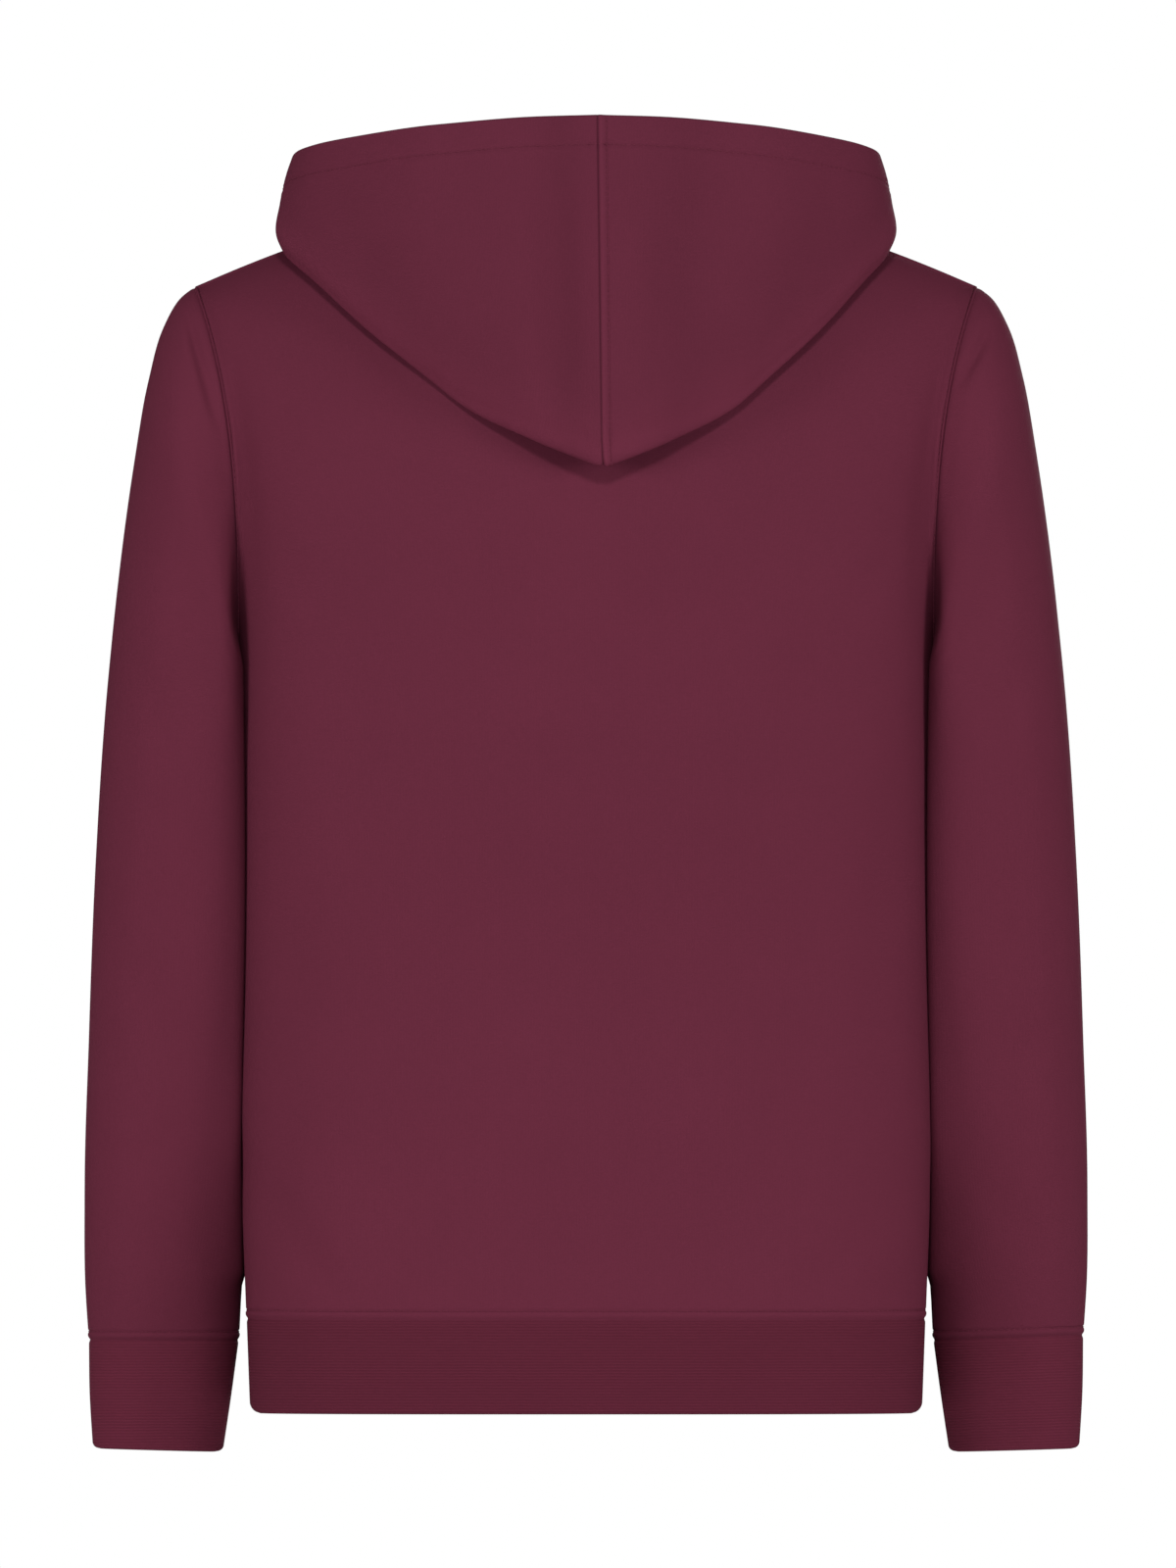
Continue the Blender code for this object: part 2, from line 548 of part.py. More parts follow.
def lifted(points, surface, clearance):
    """The grid with each point that would lie lower than the clearance over the surface moved out."""
    result = points.copy()
    for index in np.ndindex(points.shape[:2]):
        if index[1] == 0:
            continue
        near, normal, _, _ = surface.find_nearest(Vector(points[index]))
        height = (Vector(points[index]) - near).dot(normal)
        if height < clearance:
            result[index] += np.array(normal) * (clearance - height)
    return result


def skewed(points):
    """The hood's grid with its centre seam drawn to the wearer's right, and its sides and front in place."""
    stations = np.linspace(0, 1, points.shape[0])[:, None]
    steps = np.linspace(0, 1, points.shape[1])
    shift = np.interp(steps, (0, HOOD_FOLD_STEP, 1), HOOD_SKEW)
    share = np.clip(1 - (points[..., 0] / HOOD_HALF_WIDTH) ** 2, 0, 1)
    result = points.copy()
    result[..., 0] += np.where(stations < HOOD_SIDE_STATION, shift * share, 0)
    return result


def hood_wall():
    """The outer points and normals of the left hood panel."""
    stations = np.linspace(0, 1, HOOD_SECTIONS + 1)
    steps = np.linspace(0, 1, HOOD_STEPS + 1)
    points = hood(stations[:, None], steps[None, :])
    points = lifted(points, torso_surface(), HOOD_CLEARANCE)
    normals = grid_normals(points, (0, -1, 0))
    normals[0, :, 0] = 0
    turn = stations * math.pi
    behind = neck_normal(np.minimum(turn, math.pi / 2), 1)
    before = neck_normal(np.clip(math.pi - turn, 0, math.pi / 2), -1)
    normals[:, 0] = np.where((stations <= 0.5)[:, None], behind, before)
    return points, unit(normals)


# Meshes

def wall(name, points, normals, thickness, material, closed=False):
    """A closed wall: the outer grid, the grid moved in by the thickness, and strips round its edges."""
    around, along = points.shape[:2]
    inner = points - normals * thickness
    vertices = np.concatenate((points.reshape(-1, 3), inner.reshape(-1, 3)))
    offset = around * along
    faces = []
    for i in range(around if closed else around - 1):
        j = (i + 1) % around
        for k in range(along - 1):
            a, b, c, d = i * along + k, j * along + k, j * along + k + 1, i * along + k + 1
            faces.extend(((a, b, c), (a, c, d)))
            faces.extend(((offset + c, offset + b, offset + a), (offset + d, offset + c, offset + a)))
        for k in (0, along - 1):
            a, b = i * along + k, j * along + k
            faces.extend(((a, b, offset + b), (a, offset + b, offset + a)))
    for i in () if closed else (0, around - 1):
        for k in range(along - 1):
            a, b = i * along + k, i * along + k + 1
            faces.extend(((a, b, offset + b), (a, offset + b, offset + a)))
    mesh = bpy.data.meshes.new(name)
    mesh.from_pydata(vertices.tolist(), [], faces)
    shape = bmesh.new()
    shape.from_mesh(mesh)
    bmesh.ops.recalc_face_normals(shape, faces=shape.faces)
    shape.to_mesh(mesh)
    shape.free()
    mesh.materials.append(material)
    mesh.shade_smooth()
    mesh.set_sharp_from_angle(angle=SHARP_ANGLE)
    return add_object(name, mesh)


def add_object(name, mesh):
    """A new object in the garment's collection."""
    piece = bpy.data.objects.new(name, mesh)
    bpy.data.collections["zip_up_hoodie"].objects.link(piece)
    return piece


def mirrored(points):
    """The same grid on the wearer's right."""
    return points * (-1, 1, 1)


def cloth_material(name, colour, roughness, metallic=0.0):
    """A plain Principled material."""
    material = bpy.data.materials.new(name)
    material.use_nodes = True
    shader = material.node_tree.nodes["Principled BSDF"]
    shader.inputs["Base Color"].default_value = colour
    shader.inputs["Roughness"].default_value = roughness
    shader.inputs["Metallic"].default_value = metallic
    return material


def make_torso():
    """The back panel and the two fronts."""
    columns = np.arange(HALF_COLUMNS + 1, dtype=float)
    rows = torso_rows()
    points, normals = torso_panel(1, columns, rows)
    whole = np.concatenate((mirrored(points)[:0:-1], points))
    whole_normals = np.concatenate((mirrored(normals)[:0:-1], normals))
    wall("back", whole, whole_normals, FLEECE, cloth_material("fleece_back", BURGUNDY, 0.9))
    points, normals = torso_panel(-1, columns, rows)
    wall("front_left", points, normals, FLEECE, cloth_material("fleece_front_left", BURGUNDY, 0.9))
    wall("front_right", mirrored(points), mirrored(normals), FLEECE,
         cloth_material("fleece_front_right", BURGUNDY, 0.9))


def make_sleeves():
    """Both sleeves with their cuffs."""
    for side, place, rise in (("left", np.array, 0.0), ("right", mirrored, RIGHT_CUFF_RISE)):
        points, normals = sleeve_wall(rise)
        wall(f"sleeve_{side}", place(points), place(normals), FLEECE,
             cloth_material(f"fleece_sleeve_{side}", BURGUNDY, 0.9), closed=True)
        cuff = cuff_wall(rise)
        wall(f"cuff_{side}", place(cuff), place(tube_normals(cuff)), RIB,
             cloth_material(f"rib_cuff_{side}", BURGUNDY_RIB, 0.9), closed=True)


def make_hem():
    """The hem band."""
    points, normals = hem_wall()
    wall("hem_band", points, normals, RIB, cloth_material("rib_hem", BURGUNDY_RIB, 0.9))


def make_hood():
    """The two hood panels."""
    points, normals = hood_wall()
    points[0, :, 0] = SEAM_GAP / 2
    wall("hood_left", skewed(points), normals, FLEECE, cloth_material("fleece_hood_left", BURGUNDY, 0.9))
    wall("hood_right", skewed(mirrored(points)), mirrored(normals), FLEECE,
         cloth_material("fleece_hood_right", BURGUNDY, 0.9))


# Zip

def tape_depth():
    """How deep the tape lies behind the fronts, clear of their inner side."""
    return FLEECE + ZIP_CLEARANCE


def tape_wall():
    """The outer points and normals of the left zip tape, made from the hem band's and the front's points."""
    columns = np.arange(HALF_COLUMNS + 1, dtype=float)
    front, front_normals = (grid[:2] for grid in torso_panel(-1, columns, torso_rows()))
    hem, hem_normals = hem_wall()
    hem = hem[:-3:-1, ::-1]
    hem_normals = hem_normals[:-3:-1, ::-1]
    front_depth = np.full(TORSO_ROWS + 1, tape_depth())
    front_depth[0] = HEM_TOP_INSET + RIB + 2 * ZIP_CLEARANCE
    depth = np.concatenate((np.full(HEM_ROWS, RIB + ZIP_CLEARANCE), front_depth))
    points = np.concatenate((hem[:, :-1], front), axis=1)
    normals = np.concatenate((hem_normals[:, :-1], front_normals), axis=1)
    normals[..., 0] = 0
    normals = unit(normals)
    points = points - normals * depth[None, :, None]
    outer = points[0] + TAPE_SHARE * (points[1] - points[0])
    outer_normal = unit(normals[0] + TAPE_SHARE * (normals[1] - normals[0]))
    inner = points[0] * (0, 1, 1) + (TAPE_EDGE, 0, 0)
    return np.stack((inner, points[0], outer)), np.stack((normals[0], normals[0], outer_normal))


def zip_line(height):
    """The tape's front face at a height on the zip: its point at the centre, and its outward normal."""
    points, normals = tape_wall()
    y = np.interp(height, points[0, :, 2], points[0, :, 1])
    normal = [np.interp(height, points[0, :, 2], normals[0, :, axis]) for axis in range(3)]
    return stack(0, y, height), unit(np.stack(normal, axis=-1))


def slider_frame():
    """The slider's place: X across, Y inwards from the tape's front face, Z up along the zip."""
    neck = zip_line(np.array(-NECK_FRONT[1]))[0]
    height = neck[2] - SLIDER_BELOW_NECK
    point, normal = zip_line(np.array(height))
    inward = Vector(-normal)
    across = Vector((1, 0, 0))
    up = across.cross(inward)
    return Matrix.Translation(Vector(point)) @ Matrix((across, inward, up)).transposed().to_4x4()


def teeth_half():
    """Half the thickness of the teeth, centred on the tape's own thickness."""
    return TEETH_THICKNESS / 2 - TAPE / 2


def make_zip():
    """Both tapes, the teeth, the slider with its bail and the pull tab."""
    points, normals = tape_wall()
    for side, place in (("left", np.array), ("right", mirrored)):
        wall(f"zip_tape_{side}", place(points), place(normals), TAPE,
             cloth_material(f"tape_{side}", BURGUNDY_RIB, 0.85))
    frame = slider_frame()
    top = (frame @ Vector((0, 0, SLIDER_HEIGHT / 2 - BRIDGE_HEIGHT - ZIP_CLEARANCE)))[2]
    heights = np.append(points[0, points[0, :, 2] < top - SEAM_GAP, 2], top)
    line, line_normals = zip_line(heights)
    line = line + line_normals * teeth_half()
    teeth = np.stack((line - (TEETH_HALF_WIDTH, 0, 0), line + (TEETH_HALF_WIDTH, 0, 0)))
    wall("zip_chain", teeth, np.stack((line_normals, line_normals)), TEETH_THICKNESS,
         cloth_material("zip_teeth", BURGUNDY_RIB, 0.5))
    make_slider(frame)
    make_pull(frame)


def block(name, size, centre):
    """A box in the slider's own frame, with its size applied to its mesh."""
    bpy.ops.mesh.primitive_cube_add(size=1)
    item = bpy.context.active_object
    item.name = name
    item.data.transform(Matrix.Translation(centre) @ Matrix.Diagonal((*size, 1)))
    return item


def disc(name, radius, width, centre):
    """A cylinder along X in the slider's own frame."""
    bpy.ops.mesh.primitive_cylinder_add(vertices=BAIL_SIDES, radius=radius, depth=width)
    item = bpy.context.active_object
    item.name = name
    item.data.transform(Matrix.Translation(centre) @ Matrix.Rotation(math.pi / 2, 4, "Y"))
    return item


def combine(target, other, operation):
    """A Boolean of two objects, applied, with the other one removed."""
    modifier = target.modifiers.new(operation, "BOOLEAN")
    modifier.operation = operation
    modifier.object = other
    bpy.context.view_layer.update()
    evaluated = target.evaluated_get(bpy.context.evaluated_depsgraph_get())
    mesh = bpy.data.meshes.new_from_object(evaluated)
    target.modifiers.clear()
    target.data = mesh
    bpy.data.objects.remove(other)


def finish_metal(item, name, frame):
    """Name a metal piece, put it in its place and give it its material."""
    for collection in list(item.users_collection):
        collection.objects.unlink(item)
    bpy.data.collections["zip_up_hoodie"].objects.link(item)
    item.name = name
    item.data.name = name
    item.data.materials.clear()
    item.data.materials.append(cloth_material(f"{name}_metal", METAL, 0.35, 1.0))
    item.matrix_world = frame


def bail_axis():
    """The pull's axis, in the slider's frame."""
    plate_front = -(teeth_half() + ZIP_CLEARANCE + SLIDER_PLATE)
    return Vector((0, plate_front - BAIL_ABOVE_PLATE, BAIL_HEIGHT))


def make_slider(frame):
    """Two plates round the teeth, joined above them by a bridge, and a round bail for the pull."""
    gap = teeth_half() + ZIP_CLEARANCE
    plate = (SLIDER_WIDTH, SLIDER_PLATE, SLIDER_HEIGHT)
    front_centre = -(gap + SLIDER_PLATE / 2)
    back_centre = TAPE + gap + SLIDER_PLATE / 2
    slider = block("slider", plate, Vector((0, front_centre, 0)))
    bridge_size = (BRIDGE_WIDTH, back_centre - front_centre, BRIDGE_HEIGHT)
    bridge_centre = Vector((0, (front_centre + back_centre) / 2, (SLIDER_HEIGHT - BRIDGE_HEIGHT) / 2))
    combine(slider, block("bridge", bridge_size, bridge_centre), "UNION")
    combine(slider, block("back_plate", plate, Vector((0, back_centre, 0))), "UNION")
    bail = disc("bail", BAIL_OUTER_RADIUS, BAIL_WIDTH, bail_axis())
    combine(bail, disc("bail_hole", BAIL_INNER_RADIUS, 2 * BAIL_WIDTH, bail_axis()), "DIFFERENCE")
    keep_depth = 4 * BAIL_OUTER_RADIUS
    keep = block("bail_keep", (keep_depth, keep_depth, keep_depth),
                 Vector((0, front_centre - keep_depth / 2, bail_axis()[2])))
    combine(bail, keep, "INTERSECT")
    combine(slider, bail, "UNION")
    finish_metal(slider, "zip_slider", frame)


def make_pull(frame):
    """The pull tab, which hangs from the bail by a cross bar and turns about it."""
    length = PULL_LENGTH + PULL_BAR
    pull = block("pull", (PULL_WIDTH, PULL_THICKNESS, length), Vector((0, 0, PULL_BAR - length / 2)))
    slot_length = PULL_SLOT_END - PULL_BAR
    slot = block("slot", (PULL_SLOT_WIDTH, 3 * PULL_THICKNESS, slot_length),
                 Vector((0, 0, -PULL_BAR - slot_length / 2)))
    combine(pull, slot, "DIFFERENCE")
    finish_metal(pull, "zip_pull", frame @ Matrix.Translation(bail_axis()))


def main():
    """Clear the file and make the garment."""
    for item in list(bpy.data.objects):
        bpy.data.objects.remove(item)
    collection = bpy.data.collections.new("zip_up_hoodie")
    bpy.context.scene.collection.children.link(collection)
    make_torso()
    make_sleeves()
    make_hem()
    make_hood()
    make_zip()


main()
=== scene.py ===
"""The looks of a zip up hoodie in brushed fleece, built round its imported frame.

Metres, +Z up. The origin is at the base of the neck, +X is the wearer's left, the back faces +Y and
the zip faces -Y. Every cloth piece is a wall: an outer grid of points worked out from the garment's
sizes, raised or sunk along its normals by seams and creases, and an inner grid one cloth's thickness
behind it. A grid's first axis runs across or round the garment, and its second runs up or down it.
"""

import math

import bmesh
import bpy
import numpy as np
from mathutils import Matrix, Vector


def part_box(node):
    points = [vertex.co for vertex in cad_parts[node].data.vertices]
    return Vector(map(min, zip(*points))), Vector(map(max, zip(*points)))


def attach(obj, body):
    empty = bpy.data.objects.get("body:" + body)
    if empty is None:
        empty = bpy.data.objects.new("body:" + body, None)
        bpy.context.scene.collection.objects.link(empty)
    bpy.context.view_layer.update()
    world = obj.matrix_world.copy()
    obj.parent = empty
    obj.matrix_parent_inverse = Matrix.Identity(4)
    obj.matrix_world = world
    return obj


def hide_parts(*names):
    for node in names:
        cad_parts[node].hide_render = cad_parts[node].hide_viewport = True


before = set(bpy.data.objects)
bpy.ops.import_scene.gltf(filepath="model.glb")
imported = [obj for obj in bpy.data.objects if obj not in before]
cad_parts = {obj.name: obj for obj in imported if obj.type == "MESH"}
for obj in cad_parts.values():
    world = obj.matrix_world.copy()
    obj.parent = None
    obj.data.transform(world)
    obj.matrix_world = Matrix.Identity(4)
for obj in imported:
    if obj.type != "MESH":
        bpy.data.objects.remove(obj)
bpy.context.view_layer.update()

bl_info = {
    "name": "Zip up hoodie",
    "version": (1, 0, 0),
    "blender": (4, 5, 0),
    "location": "View3D > Sidebar > Hoodie",
    "description": "Fleece walls, ribs, stitches and zip of a hoodie round its packed frame",
    "category": "Object",
}

# Cloth, and the gaps between pieces, which are negative because sewn edges press into each other
FLEECE = 0.0022
RIB = 0.0030
TAPE = 0.0010
SEAM_GAP = -0.0002
ARMHOLE_GAP = 0.6 * SEAM_GAP
NECK_GAP = 1.2 * SEAM_GAP
SHARP_ANGLE = math.radians(50)
MERGE_DISTANCE = 1e-7

# Torso: half width and the depth of the back and the front at each height
TORSO_COLUMNS = ("height", "half_width", "back", "front")
TORSO = (
    (-0.6469, 0.1983, 0.108, 0.114),
    (-0.5500, 0.2015, 0.103, 0.113),
    (-0.4500, 0.2008, 0.103, 0.114),
    (-0.3600, 0.2012, 0.113, 0.119),
    (-0.3000, 0.2022, 0.120, 0.123),
)
SECTION_ROUNDNESS = 3.3
HEM_SEAM = TORSO[0][0]
CHEST = TORSO[-1][0]
CHEST_ROUNDING = 1.10
TOP_ROUNDING_BACK = 0.90
TOP_ROUNDING_FRONT = 0.66
ARMHOLE_ROUNDING = 0.45

# Neck opening, shoulder seam and armhole
NECK_HALF_WIDTH = 0.087
NECK_BACK = (0.062, 0.022)
NECK_FRONT = (0.084, 0.083)
NECK_CURL = 1.5
NECK_RISE_BACK = 0.9
NECK_RISE_FRONT = 0.7
NECK_RISE_SIDE = 1.6
SHOULDER_TIP = (0.2286, -0.0446)
SHOULDER_CROWN = 1.4
SHOULDER_FALL = 0.30
UNDERARM = (0.2028, -0.2700)
ARMHOLE_BACK = 0.062
ARMHOLE_FRONT = 0.058
ARMHOLE_CURL = 3.2

# Columns of a torso panel from the centre to the side seam
NECK_COLUMNS = 8
SHOULDER_COLUMNS = 6
ARMHOLE_COLUMNS = 12
HALF_COLUMNS = NECK_COLUMNS + SHOULDER_COLUMNS + ARMHOLE_COLUMNS
RIDGE_COLUMNS = 2
SEAM_CROSSING = 0.40
SIDE_TURN = math.radians(85)
NECK_LEAN_BACK = math.radians(48)
NECK_LEAN_FRONT = math.radians(40)
LEAN_GROWTH_BACK = 1.2
LEAN_GROWTH_FRONT = 3.5
RIDGE_LEAN = math.radians(84)
NECK_ANGLE = math.radians(22)
SHOULDER_ANGLE = math.radians(54)

# How near a seam the normals turn to the shared ones, and the panels' edges draw back or press in
NORMAL_REACH = 0.018
GAP_REACH = 0.004

# How far the torso is softened across its columns, and how near the panel's edges that ends
SOFT_COLUMNS = 2.4
SOFT_TOP_ROWS = 0.12
SOFT_BOTTOM_ROWS = 0.3
SOFT_EDGE_COLUMNS = 4
SOFT_SAMPLES = 9
SOFT_BELL = 1.4

# Sleeve: the top line and the underside at each station, with its centre and half depth front to back
SLEEVE_COLUMNS = ("station", "top_x", "top_z", "under_x", "under_z", "centre_y", "half_depth", "power")
SLEEVE = (
    (0.00, 0.2286, -0.0446, 0.2028, -0.2700, 0.002, 0.0600, 1.00),
    (0.05, 0.2385, -0.0533, 0.2030, -0.2715, 0.003, 0.0645, 0.96),
    (0.10, 0.2470, -0.0690, 0.2030, -0.2735, 0.003, 0.0675, 0.92),
    (0.18, 0.2551, -0.0980, 0.2028, -0.2780, 0.003, 0.0690, 0.87),
    (0.28, 0.2636, -0.1460, 0.2025, -0.2850, 0.002, 0.0685, 0.84),
    (0.40, 0.2726, -0.2120, 0.2020, -0.2990, 0.001, 0.0660, 0.81),
    (0.52, 0.2805, -0.2900, 0.2009, -0.3240, -0.002, 0.0630, 0.80),
    (0.66, 0.2866, -0.3850, 0.1995, -0.3950, -0.007, 0.0580, 0.80),
    (0.80, 0.2904, -0.4830, 0.1998, -0.4850, -0.014, 0.0520, 0.80),
    (0.92, 0.2930, -0.5780, 0.2006, -0.5780, -0.021, 0.0470, 0.82),
    (0.97, 0.2926, -0.6280, 0.2012, -0.6280, -0.026, 0.0425, 0.85),
    (1.00, 0.2906, -0.6598, 0.2027, -0.6598, -0.028, 0.0376, 0.88),
)

# The sleeve's inner side: how much boxier it is, and over which shares of the sleeve that grows and fades
INNER_SHARPNESS = 0.48
INNER_REACH = 0.12
INNER_END = 0.15

# Where the sleeve is pressed to the torso: up to which gap, from which share of the sleeve on, down to which
# height, and over which heights that fades at its lower end and above the underarm
CONTACT_REACH = 0.0100
CONTACT_START = 0.05
CONTACT_BOTTOM = -0.6300
CONTACT_FADE = 0.012
CONTACT_RISE = 0.035

# The gap between the sleeve and the torso, how softly it is kept, over which height that ends above the
# underarm, and over which shares of the sleeve the armhole's line and the cuff's rise fade
SLEEVE_CLEARANCE = -0.0004
SLEEVE_SOFTNESS = 0.0008
FOLD_REACH = 0.01
ARMHOLE_FADE = 0.25
CUFF_BEND = 0.25
START_CENTRE, START_HALF_DEPTH = SLEEVE[0][5:7]

# Cuff and hem band
CUFF_COLUMNS = ("station", "outer_x", "outer_z", "inner_x", "inner_z", "centre_y", "half_depth")
CUFF = (
    (0.0, 0.2905, -0.6595, 0.2029, -0.6595, -0.028, 0.0373),
    (0.5, 0.2901, -0.6910, 0.2073, -0.6920, -0.030, 0.0345),
    (1.0, 0.2882, -0.7232, 0.2123, -0.7253, -0.032, 0.0310),
)
CUFF_POWER = 0.88
HEM_BOTTOM = -0.7017
HEM_TOP_INSET = 0.0002
HEM_BOTTOM_INSET = 0.0022
RIGHT_CUFF_RISE = 0.0028

# Hood, laid down on the back: its lower fold and its face edge from the centre seam to the zip, how far it
# stands up at the neck, the radius of its lower roll, and how far its outer layer is puffed out
HOOD_COLUMNS = (
    "station", "fold_x", "fold_y", "fold_z", "edge_x", "edge_y", "edge_z", "stand", "roll", "puff",
)
HOOD = (
    (0.00, 0.000, 0.137, -0.1516, 0.000, 0.113, 0.0547, 0.020, 0.0110, 0.015),
    (0.12, 0.042, 0.129, -0.1345, 0.045, 0.111, 0.0532, 0.020, 0.0092, 0.014),
    (0.23, 0.083, 0.109, -0.1125, 0.087, 0.104, 0.0495, 0.020, 0.0062, 0.013),
    (0.26, 0.0940, 0.1025, -0.1030, 0.098, 0.102, 0.0484, 0.020, 0.0058, 0.013),
    (0.36, 0.131, 0.082, -0.0712, 0.135, 0.085, 0.0428, 0.020, 0.0054, 0.010),
    (0.46, 0.159, 0.057, -0.0428, 0.162, 0.060, 0.0372, 0.020, 0.0052, 0.008),
    (0.54, 0.1730, 0.033, -0.0290, 0.1710, 0.032, 0.0322, 0.020, 0.0052, 0.006),
    (0.64, 0.1715, 0.000, -0.0215, 0.1665, -0.006, 0.0195, 0.018, 0.0055, 0.005),
    (0.76, 0.140, -0.048, -0.0350, 0.134, -0.044, 0.0010, 0.014, 0.0060, 0.003),
    (0.88, 0.078, -0.089, -0.0640, 0.070, -0.078, -0.0310, 0.010, 0.0050, 0.002),
    (1.00, 0.0135, -0.099, -0.0830, 0.0085, -0.096, -0.0630, 0.006, 0.0035, 0.001),
)
HOOD_SKEW = (0.0, -0.0103, -0.0066)
HOOD_SIDE_STATION = 0.6
HOOD_SIDE_FADE = 0.1
HOOD_HALF_WIDTH = 0.1777
HOOD_CLEARANCE = 0.0014
HOOD_SOFTNESS = 0.0006
HOOD_FOLD_STEP = 5 / 8
AWAY_NECK_SHARE = 0.3
HALFWAY = 0.55
LAYER_LIFT = 0.30
LAYER_SINK = 0.6
ROLL_RISE_UNDER = 1.3
ROLL_RISE_OVER = 1.5
STAND_LEAN = 0.35
STAND_TOP_WIDTH_SHARE = 0.42
STAND_TOP_RISE_SHARE = 0.07

# Zip: depths are counted inwards from the fronts' outer surface
ZIP_HALF_OPENING = 0.0062
ZIP_FADE_WIDTH = 0.2
ZIP_FADE_POWER = 8
ZIP_CLEARANCE = 0.0004
TAPE_EDGE = 0.0003

# Fineness of the grids: marks along an axis, and the steps between each two of them
BACK_MARKS = ((0, 8, 14, 25.5, 26), (20, 24, 42, 10))
FRONT_MARKS = ((0, 0.9, 8, 14, 25.5, 26), (12, 16, 24, 42, 10))
TORSO_ROW_MARKS = ((0, 0.018, 0.982, 1), (12, 104, 12))
SLEEVE_TURNS = 120
SLEEVE_MARKS = ((0, 0.10, 0.30, 0.988, 1), (18, 20, 76, 14))
CUFF_MARKS = ((0, 0.08, 0.93, 1), (6, 16, 8))
HEM_MARKS = ((0, 0.10, 0.90, 1), (6, 12, 8))
HOOD_STATION_MARKS = ((0, 0.005, 0.024, 0.97, 1), (10, 10, 84, 10))
HOOD_STEP_MARKS = ((0, 1 / 8, 2 / 8, 4 / 8, 6 / 8, 0.965, 1), (14, 6, 20, 24, 40, 26))

# Fineness of the torso's surface on which the hood lies, and how many points are compared with it at once
SURFACE_COLUMNS = 53
SURFACE_ROWS = 61
NEAREST_AT_ONCE = 800


# Curves and grids

def smooth(table, columns, name, at):
    """A column of a table as a smooth curve over the table's first column, read at some stations."""
    rows = np.array(table, dtype=float)
    stations = rows[:, 0]
    values = rows[:, columns.index(name)]
    slopes = np.gradient(values, stations)
    index = np.clip(np.searchsorted(stations, at, side="right") - 1, 0, len(stations) - 2)
    width = stations[index + 1] - stations[index]
    s = (at - stations[index]) / width
    return hermite(values[index], slopes[index] * width, values[index + 1], slopes[index + 1] * width, s)


def smooth_row(table, columns, at):
    """All the columns of a table by their names, as smooth curves read at some stations."""
    return {name: smooth(table, columns, name, at) for name in columns[1:]}


def raised(wave, power):
    """A sine or cosine raised to a power, with its sign kept."""
    return np.sign(wave) * np.abs(wave) ** power


def hermite(start, start_slope, end, end_slope, s):
    """The cubic that leaves start with one slope and reaches end with the other, for s from 0 to 1."""
    return (
        (2 * s**3 - 3 * s**2 + 1) * start
        + (s**3 - 2 * s**2 + s) * start_slope
        + (3 * s**2 - 2 * s**3) * end
        + (s**3 - s**2) * end_slope
    )


def ease(value):
    """From 0 to 1 with level ends: three squares less two cubes of the value, held to 0 to 1."""
    value = np.clip(value, 0, 1)
    return value * value * (3 - 2 * value)


def bell(value):
    """A bell of height 1: e to the power of minus the value squared."""
    return np.exp(-np.square(value))


def soft_part(value, softness):
    """The positive part of a value, with a soft bend at 0: half of the value plus the root of the sum of its
    square and the softness's."""
    return (value + np.sqrt(value**2 + softness**2)) / 2


def unit(vectors):
    """Vectors of length one."""
    return vectors / np.linalg.norm(vectors, axis=-1, keepdims=True)


def stack(x, y, z):
    """Points from their three coordinates, which may be arrays or numbers."""
    return np.stack(np.broadcast_arrays(x, y, z), axis=-1).astype(float)


def marked(marks_and_counts):
    """Values that run through the marks with so many even steps between each two."""
    marks, counts = marks_and_counts
    runs = [np.linspace(a, b, n, endpoint=False) for a, b, n in zip(marks, marks[1:], counts)]
    return np.append(np.concatenate(runs), marks[-1])


def arc(points, axis=1):
    """The distance along an axis of the grid from its start: the sum of the steps between its points."""
    steps = np.linalg.norm(np.diff(points, axis=axis), axis=-1)
    start = np.zeros_like(np.take(steps, [0], axis=axis))
    return np.concatenate((start, np.cumsum(steps, axis=axis)), axis=axis)


def grid_normals(points, outward):
    """Normals of a grid of points, turned so that they point as outward does at the grid's middle."""
    normals = unit(np.cross(np.gradient(points, axis=0), np.gradient(points, axis=1)))
    middle = tuple(size // 2 for size in points.shape[:2])
    return normals if np.dot(normals[middle], outward) > 0 else -normals


def tube_normals(points):
    """Outward normals of a closed tube whose first axis goes round."""
    along = np.roll(points, -1, axis=0) - np.roll(points, 1, axis=0)
    normals = unit(np.cross(along, np.gradient(points, axis=1)))
    outward = points - points.mean(axis=0, keepdims=True)
    return normals if (normals * outward).sum() > 0 else -normals


def turned_to(normals, wanted, distance, reach):
    """Normals that turn to the wanted ones as the distance falls from reach to 0."""
    share = (1 - ease(distance / reach))[..., None]
    return unit(normals * (1 - share) + wanted * share)


def mirrored(points):
    """The same grid on the wearer's right."""
    return points * (-1, 1, 1)


# Torso

def armhole(angle, back):
    """The armhole seam: the angle runs from 0 at the shoulder tip to pi under the arm, back is 1 or -1."""
    rise = (1 + np.cos(angle)) / 2
    depth = ARMHOLE_BACK if back > 0 else ARMHOLE_FRONT
    x = UNDERARM[0] + (SHOULDER_TIP[0] - UNDERARM[0]) * rise**ARMHOLE_CURL
    z = UNDERARM[1] + (SHOULDER_TIP[1] - UNDERARM[1]) * rise
    return stack(x, back * depth * np.sin(angle), z)


def neckline(angle, back):
    """The neck seam: the angle runs from 0 at the centre to pi / 2 at the shoulder seam."""
    depth, drop = NECK_BACK if back > 0 else NECK_FRONT
    y = back * depth * np.cos(angle)
    return stack(NECK_HALF_WIDTH * np.sin(angle), y, -drop * np.clip(np.cos(angle), 0, 1) ** NECK_CURL)


